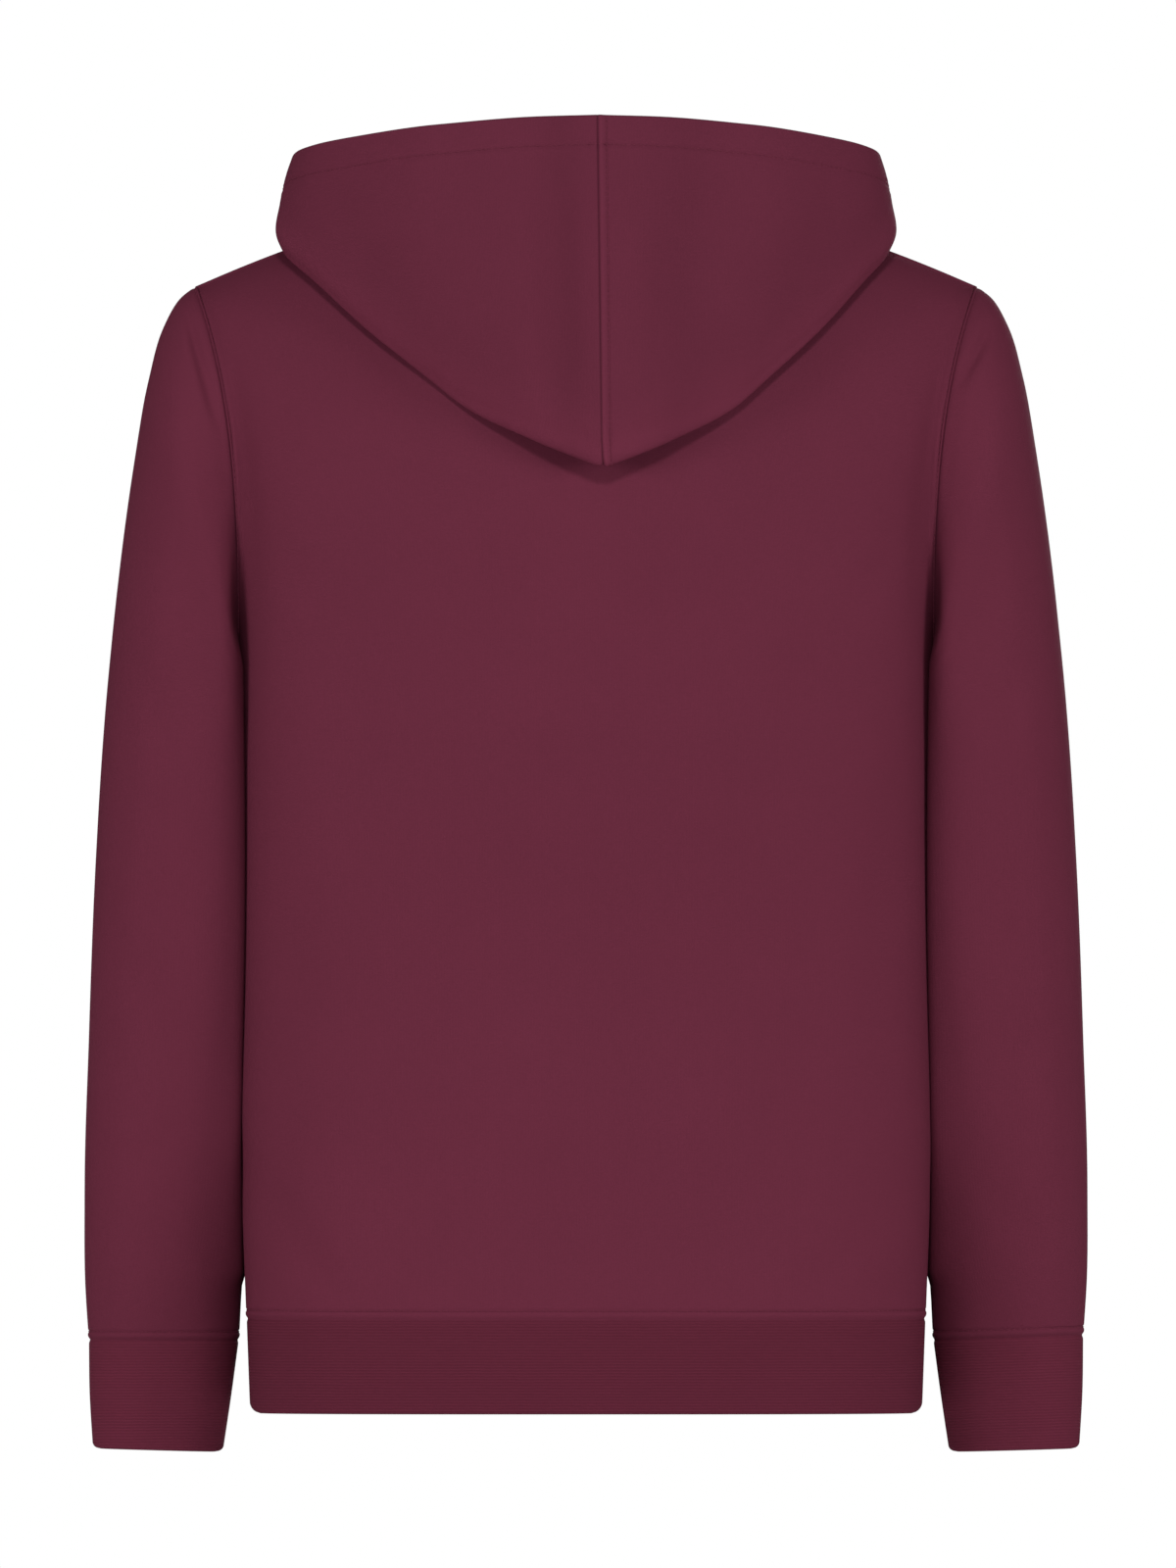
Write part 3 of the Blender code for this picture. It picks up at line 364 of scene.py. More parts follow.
def shoulder(fraction):
    """The shoulder seam, from the neck at 0 to the shoulder tip at 1."""
    x = NECK_HALF_WIDTH + (SHOULDER_TIP[0] - NECK_HALF_WIDTH) * fraction
    return stack(x, 0, SHOULDER_TIP[1] * fraction**SHOULDER_CROWN)


def top_edge(column, back):
    """The end of each column of a torso panel, and the direction in which the cloth arrives there."""
    neck_turn = np.clip(column / NECK_COLUMNS, 0, 1) * math.pi / 2
    along_shoulder = np.clip((column - NECK_COLUMNS) / SHOULDER_COLUMNS, 0, 1)
    past_tip = column - NECK_COLUMNS - SHOULDER_COLUMNS
    arm_turn = np.clip(past_tip / ARMHOLE_COLUMNS, 0, 1) * math.pi
    in_neck = (column < NECK_COLUMNS)[..., None]
    on_arm = (past_tip > 0)[..., None]
    point = np.where(in_neck, neckline(neck_turn, back), shoulder(along_shoulder))
    point = np.where(on_arm, armhole(arm_turn, back), point)
    centre_lean = NECK_LEAN_BACK if back > 0 else NECK_LEAN_FRONT
    growth = LEAN_GROWTH_BACK if back > 0 else LEAN_GROWTH_FRONT
    lean = centre_lean + (RIDGE_LEAN - centre_lean) * (neck_turn / (math.pi / 2)) ** growth
    over = unit(stack(SEAM_CROSSING * along_shoulder**2, -back * np.sin(lean), np.cos(lean)))
    rise = (1 + np.cos(arm_turn)) / 2
    fall = (SHOULDER_TIP[0] - UNDERARM[0], SHOULDER_TIP[1] - UNDERARM[1])
    seam_x = fall[0] * np.sin(arm_turn) / 2 * ARMHOLE_CURL * rise ** (ARMHOLE_CURL - 1)
    seam_y = -back * (ARMHOLE_BACK if back > 0 else ARMHOLE_FRONT) * np.cos(arm_turn)
    seam_z = fall[1] * np.sin(arm_turn) / 2
    upwards = np.clip(arm_turn / math.pi * 2 - 1, 0, 1)[..., None]
    turned = arm_turn / math.pi * SIDE_TURN
    crossing = SEAM_CROSSING * stack(np.cos(turned), -back * np.sin(turned), 0)
    beside = unit(unit(stack(seam_x, seam_y, seam_z)) + crossing)
    beside = unit(beside * (1 - upwards) + np.array((0, 0, 1.0)) * upwards)
    return point, np.where(on_arm, beside, over)


def torso_section(angle, height, back):
    """A point of the torso below the arms, on a superellipse: the angle is 0 at the centre and pi / 2 at the
    side."""
    half_width = smooth(TORSO, TORSO_COLUMNS, "half_width", height)
    depth = smooth(TORSO, TORSO_COLUMNS, "back" if back > 0 else "front", height)
    power = 2 / SECTION_ROUNDNESS
    x = half_width * np.sin(angle) ** power
    y = back * depth * np.clip(np.cos(angle), 0, 1) ** power
    return stack(x, y, height)


def torso(column, row, back):
    """A point of the back (1) or front (-1): column 0 is the centre, row runs from 0 at the hem seam to 1.
    Below the chest it is a superellipse, and above it a cubic from the chest to the neck, the shoulder or the
    armhole."""
    column, row = np.broadcast_arrays(np.asarray(column, float), np.asarray(row, float))
    past_neck = np.clip(column - NECK_COLUMNS, 0, SHOULDER_COLUMNS) / SHOULDER_COLUMNS
    past_tip = np.clip(column - NECK_COLUMNS - SHOULDER_COLUMNS, 0, ARMHOLE_COLUMNS) / ARMHOLE_COLUMNS
    angle = NECK_ANGLE * np.clip(column / NECK_COLUMNS, 0, 1)
    angle = angle + (SHOULDER_ANGLE - NECK_ANGLE) * past_neck
    angle = angle + (math.pi / 2 - SHOULDER_ANGLE) * past_tip
    end, arrival = top_edge(column, back)
    chest = torso_section(angle, np.full(angle.shape, CHEST), back)
    reach = np.linalg.norm(end - chest, axis=-1)
    travelled = row * (CHEST - HEM_SEAM + reach)
    below = torso_section(angle, np.minimum(HEM_SEAM + travelled, CHEST), back)
    s = np.clip((travelled - (CHEST - HEM_SEAM)) / reach, 0, 1)[..., None]
    reach = reach[..., None]
    top_rounding = TOP_ROUNDING_BACK if back > 0 else TOP_ROUNDING_FRONT
    top_rounding += (ARMHOLE_ROUNDING - top_rounding) * np.clip(2 * past_tip[..., None], 0, 1)
    leaving = CHEST_ROUNDING * reach * np.array((0, 0, 1.0))
    above = hermite(chest, leaving, end, top_rounding * reach * arrival, s)
    point = np.where((travelled > CHEST - HEM_SEAM)[..., None], above, below)
    if back < 0:
        point[..., 0] += parted(point[..., 0])
    return point


def parted(x):
    """How far the fronts stand aside for the zip, most at the centre."""
    return ZIP_HALF_OPENING * np.clip(1 - x / ZIP_FADE_WIDTH, 0, 1) ** ZIP_FADE_POWER


def seam_normals(column, back):
    """The normals that the torso shares with the hood, the other panel and the sleeve along its top edge."""
    past_tip = column - NECK_COLUMNS - SHOULDER_COLUMNS
    arm_turn = np.clip(past_tip / ARMHOLE_COLUMNS, 0, 1) * math.pi
    neck_turn = np.clip(column / NECK_COLUMNS, 0, 1) * math.pi / 2
    round_arm = armhole_normal(arm_turn, 1.0) * (1, back, 1)
    round_neck = neck_normal(neck_turn, back)
    ridge = stack(SHOULDER_FALL, 0, 1)
    blend = np.clip((column - NECK_COLUMNS) / RIDGE_COLUMNS, 0, 1)[..., None]
    over = round_neck * (1 - blend) + unit(ridge) * blend
    return unit(np.where((past_tip > 0)[..., None], unit(round_arm), over))


def armhole_normal(angle, side):
    """The outward normal at the armhole seam, which turns towards the torso's (1) or the sleeve's own (-1)
    from the shoulder tip, where the cloth runs straight over the seam, to the fold under the arm."""
    lean = SHOULDER_FALL * np.clip(1 - angle / math.pi, 0, 1) ** 2
    return unit(stack(lean + side * angle / math.pi, np.sin(angle), np.cos(angle)))


def neck_normal(angle, back):
    """The outward normal at the neck seam, half way between the shoulder's and the standing hood's."""
    rise = np.cos(angle) * (NECK_RISE_BACK if back > 0 else NECK_RISE_FRONT) + NECK_RISE_SIDE * np.sin(angle)
    return unit(stack(np.sin(angle), back * np.cos(angle), rise))


def neck_crossing(turn):
    """The direction across the neck seam into the hood; the turn runs from 0 at the back to pi in front."""
    angle = np.minimum(turn, math.pi - turn)
    crossings = []
    for back, (depth, drop) in ((1, NECK_BACK), (-1, NECK_FRONT)):
        fall = NECK_CURL * drop * np.sqrt(np.clip(np.cos(angle), 0, 1)) * np.sin(angle)
        along = stack(NECK_HALF_WIDTH * np.cos(angle), -back * depth * np.sin(angle), fall)
        crossings.append(-back * unit(np.cross(neck_normal(angle, back), along)))
    return np.where((turn <= math.pi / 2)[..., None], crossings[0], crossings[1])


def softened(columns, rows, back):
    """The points of half a torso panel, each the mean of several beside it across the panel, weighted by a
    bell, so that the cloth hangs round below the shoulder seam's two ends. Near the edges they close up."""
    inside = ease(np.minimum(columns, HALF_COLUMNS - columns) / SOFT_EDGE_COLUMNS)[:, None]
    reach = SOFT_COLUMNS * inside * ease((1 - rows) / SOFT_TOP_ROWS) * ease(rows / SOFT_BOTTOM_ROWS)
    shares = np.linspace(-1, 1, SOFT_SAMPLES)
    weights = bell(SOFT_BELL * shares)
    total = sum(weight * torso(columns[:, None] + share * reach, rows[None, :], back)
                for share, weight in zip(shares, weights))
    return total / weights.sum()


def torso_panel(back, columns, rows):
    """The outer points and normals of half a torso panel; its edges stand half a gap back from the seams."""
    points = softened(columns, rows, back)
    normals = grid_normals(points, (0, back, 0))
    climbed = arc(points)
    from_top = climbed[:, -1:] - climbed
    across = arc(points, axis=0)
    from_side = across[-1:] - across
    normals = turned_to(normals, seam_normals(columns, back)[:, None], from_top, NORMAL_REACH)
    normals = turned_to(normals, np.array((1.0, 0, 0)), from_side, NORMAL_REACH)
    if back > 0:
        normals[0, :, 0] = 0
        normals = unit(normals)
    side = np.array((0, back * SEAM_GAP / 2, 0))
    at_side = (1 - ease(from_side / GAP_REACH))[..., None]
    at_top = (1 - ease(from_top / GAP_REACH))[..., None]
    past_tip = (columns - NECK_COLUMNS - SHOULDER_COLUMNS)[:, None, None]
    on_ridge = (columns[:, None, None] >= NECK_COLUMNS) & (past_tip <= 0)
    points = points + at_side * side + at_top * np.where(on_ridge, side, 0)
    points = points - at_top * np.where(past_tip >= 0, np.array((ARMHOLE_GAP, 0, 0)), 0)
    return points, normals, from_top, from_side


def armhole_dip(columns, back):
    """The direction in which the torso and the sleeve both sink at the armhole seam, by torso column."""
    past_tip = columns - NECK_COLUMNS - SHOULDER_COLUMNS
    turn = np.clip(past_tip / ARMHOLE_COLUMNS, 0, 1) * math.pi
    shared = armhole_normal(turn, 0.0) * (1, back, 1)
    return np.where((past_tip > 0)[:, None], shared, seam_normals(columns, back))


# Sleeve, cuff and hem band

def sleeve(turn, station, rise=0.0):
    """A point of the left sleeve, on a superellipse round its middle line: turn 0 at the top, a quarter at
    the back, station 0 to 1 at the cuff, whose seam may rise at its outer end."""
    turn, station = np.broadcast_arrays(np.asarray(turn, float), np.asarray(station, float))
    angle = 2 * math.pi * turn
    read = smooth_row(SLEEVE, SLEEVE_COLUMNS, station)
    sharper = INNER_SHARPNESS * ease(station / INNER_REACH) * ease((1 - station) / INNER_END)
    power = read["power"] - np.where(np.cos(angle) < 0, sharper, 0)
    up, out = raised(np.cos(angle), power), raised(np.sin(angle), power)
    x = (read["top_x"] + read["under_x"]) / 2 + up * (read["top_x"] - read["under_x"]) / 2
    z = (read["top_z"] + read["under_z"]) / 2 + up * (read["top_z"] - read["under_z"]) / 2
    y = read["centre_y"] + out * read["half_depth"]
    point = stack(x, y, z)
    back = armhole(angle, 1)
    front = armhole(angle, 1) * (1, ARMHOLE_FRONT / ARMHOLE_BACK, 1)
    at_armhole = np.where((out > 0)[..., None], back, front)
    fade = np.clip(1 - station / ARMHOLE_FADE, 0, 1)[..., None] ** 2
    tip, under = np.array(SHOULDER_TIP), np.array(UNDERARM)
    ring_x, ring_z = ((tip + under)[:, None] + (tip - under)[:, None] * np.cos(angle).ravel()) / 2
    ring_y = START_CENTRE + START_HALF_DEPTH * np.sin(angle)
    ring = stack(ring_x.reshape(angle.shape), ring_y, ring_z.reshape(angle.shape))
    point = point + fade * (at_armhole - ring)
    bend = (1 + up) / 2 * np.clip(1 - (1 - station) / CUFF_BEND, 0, 1) ** 2
    point[..., 2] += rise * bend
    return beside_torso(point, fade[..., 0], ease(station / CONTACT_START))


def beside_torso(point, fade, clear_of_seam):
    """Points of the sleeve moved out where they would lie in the torso's side, and in where they would leave
    a slit beside it: by the gap times a bell of the gap over its reach."""
    height = np.clip(point[..., 2], HEM_SEAM, CHEST)
    half_width = smooth(TORSO, TORSO_COLUMNS, "half_width", height)
    back = smooth(TORSO, TORSO_COLUMNS, "back", height)
    front = smooth(TORSO, TORSO_COLUMNS, "front", height)
    share = np.clip(np.abs(point[..., 1]) / np.where(point[..., 1] > 0, back, front), 0, 1)
    side = half_width * (1 - share**SECTION_ROUNDNESS) ** (1 / SECTION_ROUNDNESS)
    excess = side + SLEEVE_CLEARANCE * (1 - fade) - point[..., 0]
    push = soft_part(excess, SLEEVE_SOFTNESS)
    below = 1 - ease((point[..., 2] - UNDERARM[1]) / FOLD_REACH)
    point[..., 0] += push * (1 - fade) * below
    gap = point[..., 0] - side - SLEEVE_CLEARANCE
    near = bell(gap / CONTACT_REACH) * ease((point[..., 2] - CONTACT_BOTTOM) / CONTACT_FADE)
    from_above = 1 - ease((point[..., 2] - UNDERARM[1]) / CONTACT_RISE)
    point[..., 0] -= gap * near * clear_of_seam * from_above
    return point


def sleeve_wall(rise):
    """The outer points and normals of the left sleeve, ring by ring from the armhole to the cuff."""
    turns = np.arange(SLEEVE_TURNS) / SLEEVE_TURNS
    points = sleeve(turns[:, None], marked(SLEEVE_MARKS)[None, :], rise)
    normals = tube_normals(points)
    angle = 2 * math.pi * turns
    own = armhole_normal(np.minimum(angle, 2 * math.pi - angle), -1.0)
    own[:, 1] *= np.where(angle > math.pi, -1, 1)
    travelled = arc(points)
    normals = turned_to(normals, own[:, None], travelled, NORMAL_REACH)
    at_seam = (1 - ease(travelled / GAP_REACH))[..., None]
    shared = armhole_normal(np.minimum(angle, 2 * math.pi - angle), 0.0)
    shared[:, 1] *= np.where(angle > math.pi, -1, 1)
    return points + at_seam * np.array((ARMHOLE_GAP, 0, 0)), normals, travelled, shared[:, None]


def cuff_wall(rise):
    """The outer points of the left cuff, a superellipse that narrows; rise lifts its seam's outer end."""
    stations = marked(CUFF_MARKS)
    angle = 2 * math.pi * np.arange(SLEEVE_TURNS)[:, None] / SLEEVE_TURNS
    read = smooth_row(CUFF, CUFF_COLUMNS, stations)
    up, out = raised(np.cos(angle), CUFF_POWER), raised(np.sin(angle), CUFF_POWER)
    x = (read["outer_x"] + read["inner_x"]) / 2 + up * (read["outer_x"] - read["inner_x"]) / 2
    z = (read["outer_z"] + read["inner_z"]) / 2 + up * (read["outer_z"] - read["inner_z"]) / 2
    z = z + rise * (1 + up) / 2 * (1 - stations)
    return stack(x, read["centre_y"] + out * read["half_depth"], z)


def hem_wall():
    """The outer points of the hem band, from the zip on the wearer's right round the back to the left."""
    columns = marked(FRONT_MARKS)
    back = torso(columns, 0.0, 1)
    front = torso(columns, 0.0, -1)
    ring = np.concatenate((mirrored(front), mirrored(back)[-2:0:-1], back, front[-2::-1]))
    inward = unit(np.gradient(ring, axis=0)[:, [1, 0, 2]] * (1, -1, 0))
    middle = len(ring) // 2
    if inward[middle, 1] > 0:
        inward = -inward
    depth = marked(HEM_MARKS)
    inset = HEM_TOP_INSET + (HEM_BOTTOM_INSET - HEM_TOP_INSET) * depth
    points = ring[:, None, :] + inward[:, None, :] * inset[None, :, None]
    points[..., 2] = HEM_SEAM - SEAM_GAP + (HEM_BOTTOM - HEM_SEAM + SEAM_GAP) * depth
    points[0, :, 0] = -ZIP_HALF_OPENING
    points[-1, :, 0] = ZIP_HALF_OPENING
    return points, np.repeat(-inward[:, None, :], len(depth), axis=1)


# Hood

def hood(station, step):
    """A point of the left hood panel: station 0 at the centre seam to 1 at the zip, step 0 at the neck
    seam to 1 at the face edge. Each section is a smooth curve from the neck up, over, down to the fold
    that lies on the shoulders, and up again to the face edge."""
    station, step = np.broadcast_arrays(np.asarray(station, float), np.asarray(step, float))
    read = smooth_row(HOOD, HOOD_COLUMNS, station)
    turn = station * math.pi
    behind = neckline(np.minimum(turn, math.pi / 2), 1)
    before = neckline(np.clip(math.pi - turn, 0, math.pi / 2), -1)
    neck = np.where((station <= 0.5)[..., None], behind, before)
    neck = neck + NECK_GAP * neck_crossing(turn)
    neck[..., 0] += np.where(station > 0.5, parted(neck[..., 0]), 0)
    fold = stack(read["fold_x"], read["fold_y"], read["fold_z"])
    edge = stack(read["edge_x"], read["edge_y"], read["edge_z"])
    away = unit((fold - AWAY_NECK_SHARE * neck) * (1, 1, 0))
    up = np.array((0, 0, 1.0))
    height = read["stand"][..., None]
    stand = neck + height * (up + STAND_LEAN * away)
    roll = read["roll"][..., None]
    knots = [
        neck,
        stand,
        stand + height * (up * STAND_TOP_RISE_SHARE + away * STAND_TOP_WIDTH_SHARE),
        stand + (fold - stand) * HALFWAY + up * LAYER_LIFT * height - away * LAYER_SINK * roll,
        fold - away * roll + up * ROLL_RISE_UNDER * roll,
        fold,
        fold + away * roll + up * ROLL_RISE_OVER * roll,
        fold + (edge - fold) * HALFWAY + away * read["puff"][..., None],
        edge,
    ]
    return through(knots, step)


def through(knots, at):
    """The smooth curve through the knots, read from 0 to 1 with an equal share for each span."""
    knots = np.array(knots)
    gaps = np.linalg.norm(np.diff(knots, axis=0), axis=-1) + 1e-9
    marks = np.concatenate((np.zeros((1,) + gaps.shape[1:]), np.cumsum(gaps, axis=0)))
    marks = marks / marks[-1]
    speeds = np.diff(knots, axis=0) / np.diff(marks, axis=0)[..., None]
    before = np.concatenate((speeds[:1], speeds))
    after = np.concatenate((speeds, speeds[-1:]))
    widths = np.diff(marks, axis=0)[..., None]
    wide_before = np.concatenate((widths[:1], widths))
    wide_after = np.concatenate((widths, widths[-1:]))
    slopes = (before * wide_after + after * wide_before) / (wide_before + wide_after)
    spans = len(knots) - 1
    interval = np.minimum((at * spans).astype(int), spans - 1)
    s = (at * spans - interval)[..., None]
    result = np.zeros(knots.shape[1:])
    for k in range(spans):
        width = widths[k]
        piece = hermite(knots[k], slopes[k] * width, knots[k + 1], slopes[k + 1] * width, s)
        result = np.where((interval == k)[..., None], piece, result)
    return result


def torso_surface():
    """Points and normals of the upper torso's outer surface, for what lies on it."""
    columns = np.linspace(0, HALF_COLUMNS, SURFACE_COLUMNS)
    rows = np.linspace(0.5, 1, SURFACE_ROWS)
    points, normals = [], []
    for back in (1, -1):
        grid = torso(columns[:, None], rows[None, :], back)
        points.append(grid.reshape(-1, 3))
        normals.append(grid_normals(grid, (0, back, 0)).reshape(-1, 3))
    return np.concatenate(points), np.concatenate(normals)


def lifted(points):
    """The grid with each point that would lie lower than the clearance over the torso moved out along the
    nearest normal, by the soft part of its shortfall."""
    surface, outward = torso_surface()
    flat = points.reshape(-1, 3)
    shift = np.zeros_like(flat)
    for start in range(0, len(flat), NEAREST_AT_ONCE):
        some = flat[start:start + NEAREST_AT_ONCE]
        near = np.square(some[:, None] - surface[None]).sum(axis=-1).argmin(axis=1)
        shortfall = HOOD_CLEARANCE - ((some - surface[near]) * outward[near]).sum(axis=-1)
        push = soft_part(shortfall, HOOD_SOFTNESS)
        shift[start:start + NEAREST_AT_ONCE] = outward[near] * push[:, None]
    climbed = arc(points)[..., None]
    return points + shift.reshape(points.shape) * ease(climbed / NORMAL_REACH)


def skewed(points):
    """The hood's grid with its centre seam drawn to the wearer's right, and its sides and front in place."""
    stations = marked(HOOD_STATION_MARKS)[:, None]
    shift = np.interp(marked(HOOD_STEP_MARKS), (0, HOOD_FOLD_STEP, 1), HOOD_SKEW)
    share = np.clip(1 - (points[..., 0] / HOOD_HALF_WIDTH) ** 2, 0, 1)
    behind = 1 - ease((stations - HOOD_SIDE_STATION + HOOD_SIDE_FADE) / HOOD_SIDE_FADE)
    result = points.copy()
    result[..., 0] += shift * share * behind
    return result


def hood_wall():
    """The outer points and normals of the left hood panel."""
    stations = marked(HOOD_STATION_MARKS)
    points = hood(stations[:, None], marked(HOOD_STEP_MARKS)[None, :])
    points = lifted(points)
    normals = grid_normals(points, (0, 1, 0))
    turn = stations * math.pi
    behind = neck_normal(np.minimum(turn, math.pi / 2), 1)
    before = neck_normal(np.clip(math.pi - turn, 0, math.pi / 2), -1)
    at_neck = np.where((stations <= 0.5)[:, None], behind, before)
    climbed = arc(points)
    normals = turned_to(normals, at_neck[:, None], climbed, NORMAL_REACH)
    from_centre = arc(points, axis=0)
    level = unit(normals * (0, 1, 1))
    return points, turned_to(normals, level, from_centre, NORMAL_REACH), climbed, from_centre


# Relief: seams and creases, in metres out of the cloth

SEAM_WIDTH = 0.0013
TOPSTITCH = 0.0052
GROOVE_WIDTH = 0.0007

# Each seam's valley, ridge and groove as shares of the seam depth, and each ridge's place and width
PLAIN_SEAM = (1.0, 0.0, 0.0)
TOP_SEAM = (0.0, 0.5, 1.1)
SIDE_SEAM = (0.4, 0.0, 0.0)
END_SEAM = (1.0, 0.35, 0.8)
ZIP_SEAM = (0.0, 0.3, 0.4)
RIB_SEAM = (0.8, 0.0, 0.0)
RIDGE = (0.0026, 0.0018)
END_RIDGE = (0.0030, 0.0016)

# How near the seams, the ends and the sleeve's inner side the creases fade out
SEAM_CLEAR = 0.02
END_CLEAR = 0.03
ARMHOLE_CLEAR = 0.012
CENTRE_CLEAR = 0.006
SLEEVE_INNER_FADE = 0.030

# A crease's turn from the side that it is on, and how far past its ends and how gently it fades
CREASE_FACING = 0.03
CREASE_OVERRUN = 0.15
CREASE_FADE = 0.45

# Rounded edges, and the corners at which the rib bands curl in
ZIP_EDGE_ROLL = 0.0011
HEM_END_ROLL = 0.0012
BAND_FOLD_SHARE = 0.45
CUFF_CORNER_TURN = 0.05
CUFF_CORNER_CURL = 0.0040
HEM_CORNER_X = 0.1975
HEM_CORNER_SHARE = 0.02
HEM_CORNER_CURL = 0.0065


def seam(distance, depth, shares=PLAIN_SEAM, ridge=RIDGE):
    """The relief beside a seam: a bell-shaped valley at the seam, a ridge beside it where its allowances lie,
    and a narrower groove under the row of stitches."""
    valley, rise, groove = (share * depth for share in shares)
    place, width = ridge
    relief = -valley * bell(distance / SEAM_WIDTH) + rise * bell((distance - place) / width)
    return relief - groove * bell((distance - TOPSTITCH) / GROOVE_WIDTH)


def creases(points, table, side):
    """Soft troughs (positive depth) and ridges: each lies along a bowed line on the back (side 1) or the
    front (-1), with a bell-shaped section and ends that fade over the crease's own length."""
    facing = ease(0.5 + side * points[..., 1] / CREASE_FACING)
    relief = np.zeros(points.shape[:2])
    for start_x, start_z, end_x, end_z, width, depth, bow in table:
        start = np.array((start_x, start_z))
        line = np.array((end_x, end_z)) - start
        length = np.hypot(*line)
        along = line / length
        offset = points[..., [0, 2]] - start
        share = (offset @ along) / length
        aside = offset @ np.array((-along[1], along[0])) - bow * 4 * share * (1 - share)
        taper = ease((share + CREASE_OVERRUN) / CREASE_FADE)
        taper = taper * ease((1 + CREASE_OVERRUN - share) / CREASE_FADE)
        relief -= depth * bell(aside / width) * taper
    return relief * facing


# The creases. A row has the x and z where it starts and where it ends, its half width, its depth, which is
# negative on a ridge, and its bow
BACK_CREASES = (
    (0.140, -0.190, 0.124, -0.370, 0.026, 0.0016, 0.006),
    (-0.126, -0.100, -0.142, -0.440, 0.028, 0.0018, -0.006),
    (0.198, -0.540, 0.140, -0.640, 0.013, 0.0022, 0.006),
    (0.165, -0.400, 0.178, -0.560, 0.016, 0.0012, 0.004),
    (-0.186, -0.300, -0.168, -0.520, 0.015, 0.0012, 0.003),
    (-0.196, -0.560, -0.120, -0.636, 0.014, 0.0013, -0.004),
    (0.060, -0.480, -0.020, -0.560, 0.030, -0.0012, 0.010),
    (-0.075, -0.300, -0.060, -0.470, 0.026, -0.0010, 0.005),
    (0.185, -0.170, 0.150, -0.240, 0.012, 0.0010, 0.004),
    (-0.184, -0.180, -0.150, -0.235, 0.012, 0.0010, -0.004),
)
FRONT_CREASES = (
    (0.125, -0.180, 0.118, -0.400, 0.020, 0.0024, 0.006),
    (-0.130, -0.160, -0.120, -0.420, 0.021, 0.0026, -0.006),
    (0.196, -0.545, 0.120, -0.628, 0.014, 0.0018, 0.006),
    (-0.196, -0.530, -0.130, -0.630, 0.015, 0.0016, -0.006),
    (0.060, -0.300, 0.052, -0.540, 0.022, -0.0010, 0.005),
    (-0.055, -0.320, -0.066, -0.560, 0.024, -0.0010, -0.004),
    (0.190, -0.190, 0.120, -0.235, 0.012, 0.0014, 0.006),
    (-0.190, -0.185, -0.125, -0.240, 0.012, 0.0014, -0.006),
)
SLEEVE_LEFT_BACK_CREASES = (
    (0.2325, -0.058, 0.2105, -0.128, 0.0042, 0.0038, 0.001),
    (0.2480, -0.110, 0.2180, -0.230, 0.012, -0.0016, -0.006),
    (0.262, -0.250, 0.232, -0.330, 0.012, 0.0013, 0.004),
    (0.212, -0.360, 0.262, -0.420, 0.013, 0.0012, -0.004),
    (0.272, -0.430, 0.226, -0.500, 0.012, 0.0012, 0.003),
    (0.222, -0.520, 0.276, -0.560, 0.010, 0.0011, -0.003),
    (0.280, -0.585, 0.224, -0.622, 0.009, 0.0011, 0.003),
)
SLEEVE_RIGHT_BACK_CREASES = (
    (-0.2370, -0.066, -0.2130, -0.103, 0.0042, 0.0036, -0.001),
    (-0.2470, -0.105, -0.2200, -0.240, 0.012, -0.0016, 0.006),
    (-0.264, -0.235, -0.228, -0.322, 0.012, 0.0012, -0.004),
    (-0.214, -0.372, -0.260, -0.440, 0.013, 0.0013, 0.004),
    (-0.274, -0.470, -0.224, -0.520, 0.012, 0.0011, -0.003),
    (-0.220, -0.560, -0.274, -0.600, 0.010, 0.0012, 0.003),
)
SLEEVE_FRONT_CREASES = (
    (0.2390, -0.066, 0.2170, -0.140, 0.0060, 0.0018, -0.002),
    (0.258, -0.230, 0.214, -0.300, 0.012, 0.0018, 0.005),
    (0.270, -0.300, 0.216, -0.345, 0.010, 0.0017, 0.004),
    (0.276, -0.360, 0.220, -0.392, 0.010, 0.0016, 0.003),
    (0.222, -0.450, 0.272, -0.500, 0.012, 0.0012, -0.004),
    (0.280, -0.560, 0.222, -0.610, 0.010, 0.0013, 0.004),
)
HOOD_LEFT_CREASES = (
    (0.020, 0.030, 0.013, -0.120, 0.013, 0.0052, 0.001),
    (0.100, 0.038, 0.060, -0.070, 0.024, -0.0018, 0.006),
    (0.150, 0.020, 0.120, -0.050, 0.014, 0.0012, 0.004),
)
HOOD_RIGHT_CREASES = (
    (-0.082, 0.030, -0.052, -0.070, 0.022, 0.0036, 0.004),
    (-0.030, 0.020, -0.026, -0.110, 0.014, -0.0022, 0.001),
    (-0.150, 0.020, -0.118, -0.046, 0.014, 0.0012, -0.004),
)

# Where light and shade are painted into the hood's colour along lines: the axis of the UVs, which is 0 from
# the centre seam and 1 from the fold, the line's place and width, and how much lighter it is, darker where
# below 0.
# The rows: a painted highlight in a band over the lower fold, a painted shade in the centre seam on each
# panel, a painted highlight on the strip beside the seam on the wearer's right, a painted shade in a broad
# band about
# 22 mm from the seam on the left panel, and a band 50 mm from the seam on the right panel that is darker. On
# the left panel the distance from the seam starts at 1
HOOD_PAINTED_LIGHT_LINES = (
    (1, 0.008, 0.022, 0.30),
    (0, 0.0000, 0.0007, -0.35),
    (0, 1.0000, 0.0007, -0.35),
    (0, 0.0021, 0.0012, 0.12),
    (0, 1.0220, 0.0130, -0.08),
    (0, 0.0500, 0.0200, -0.05),
)


# Meshes

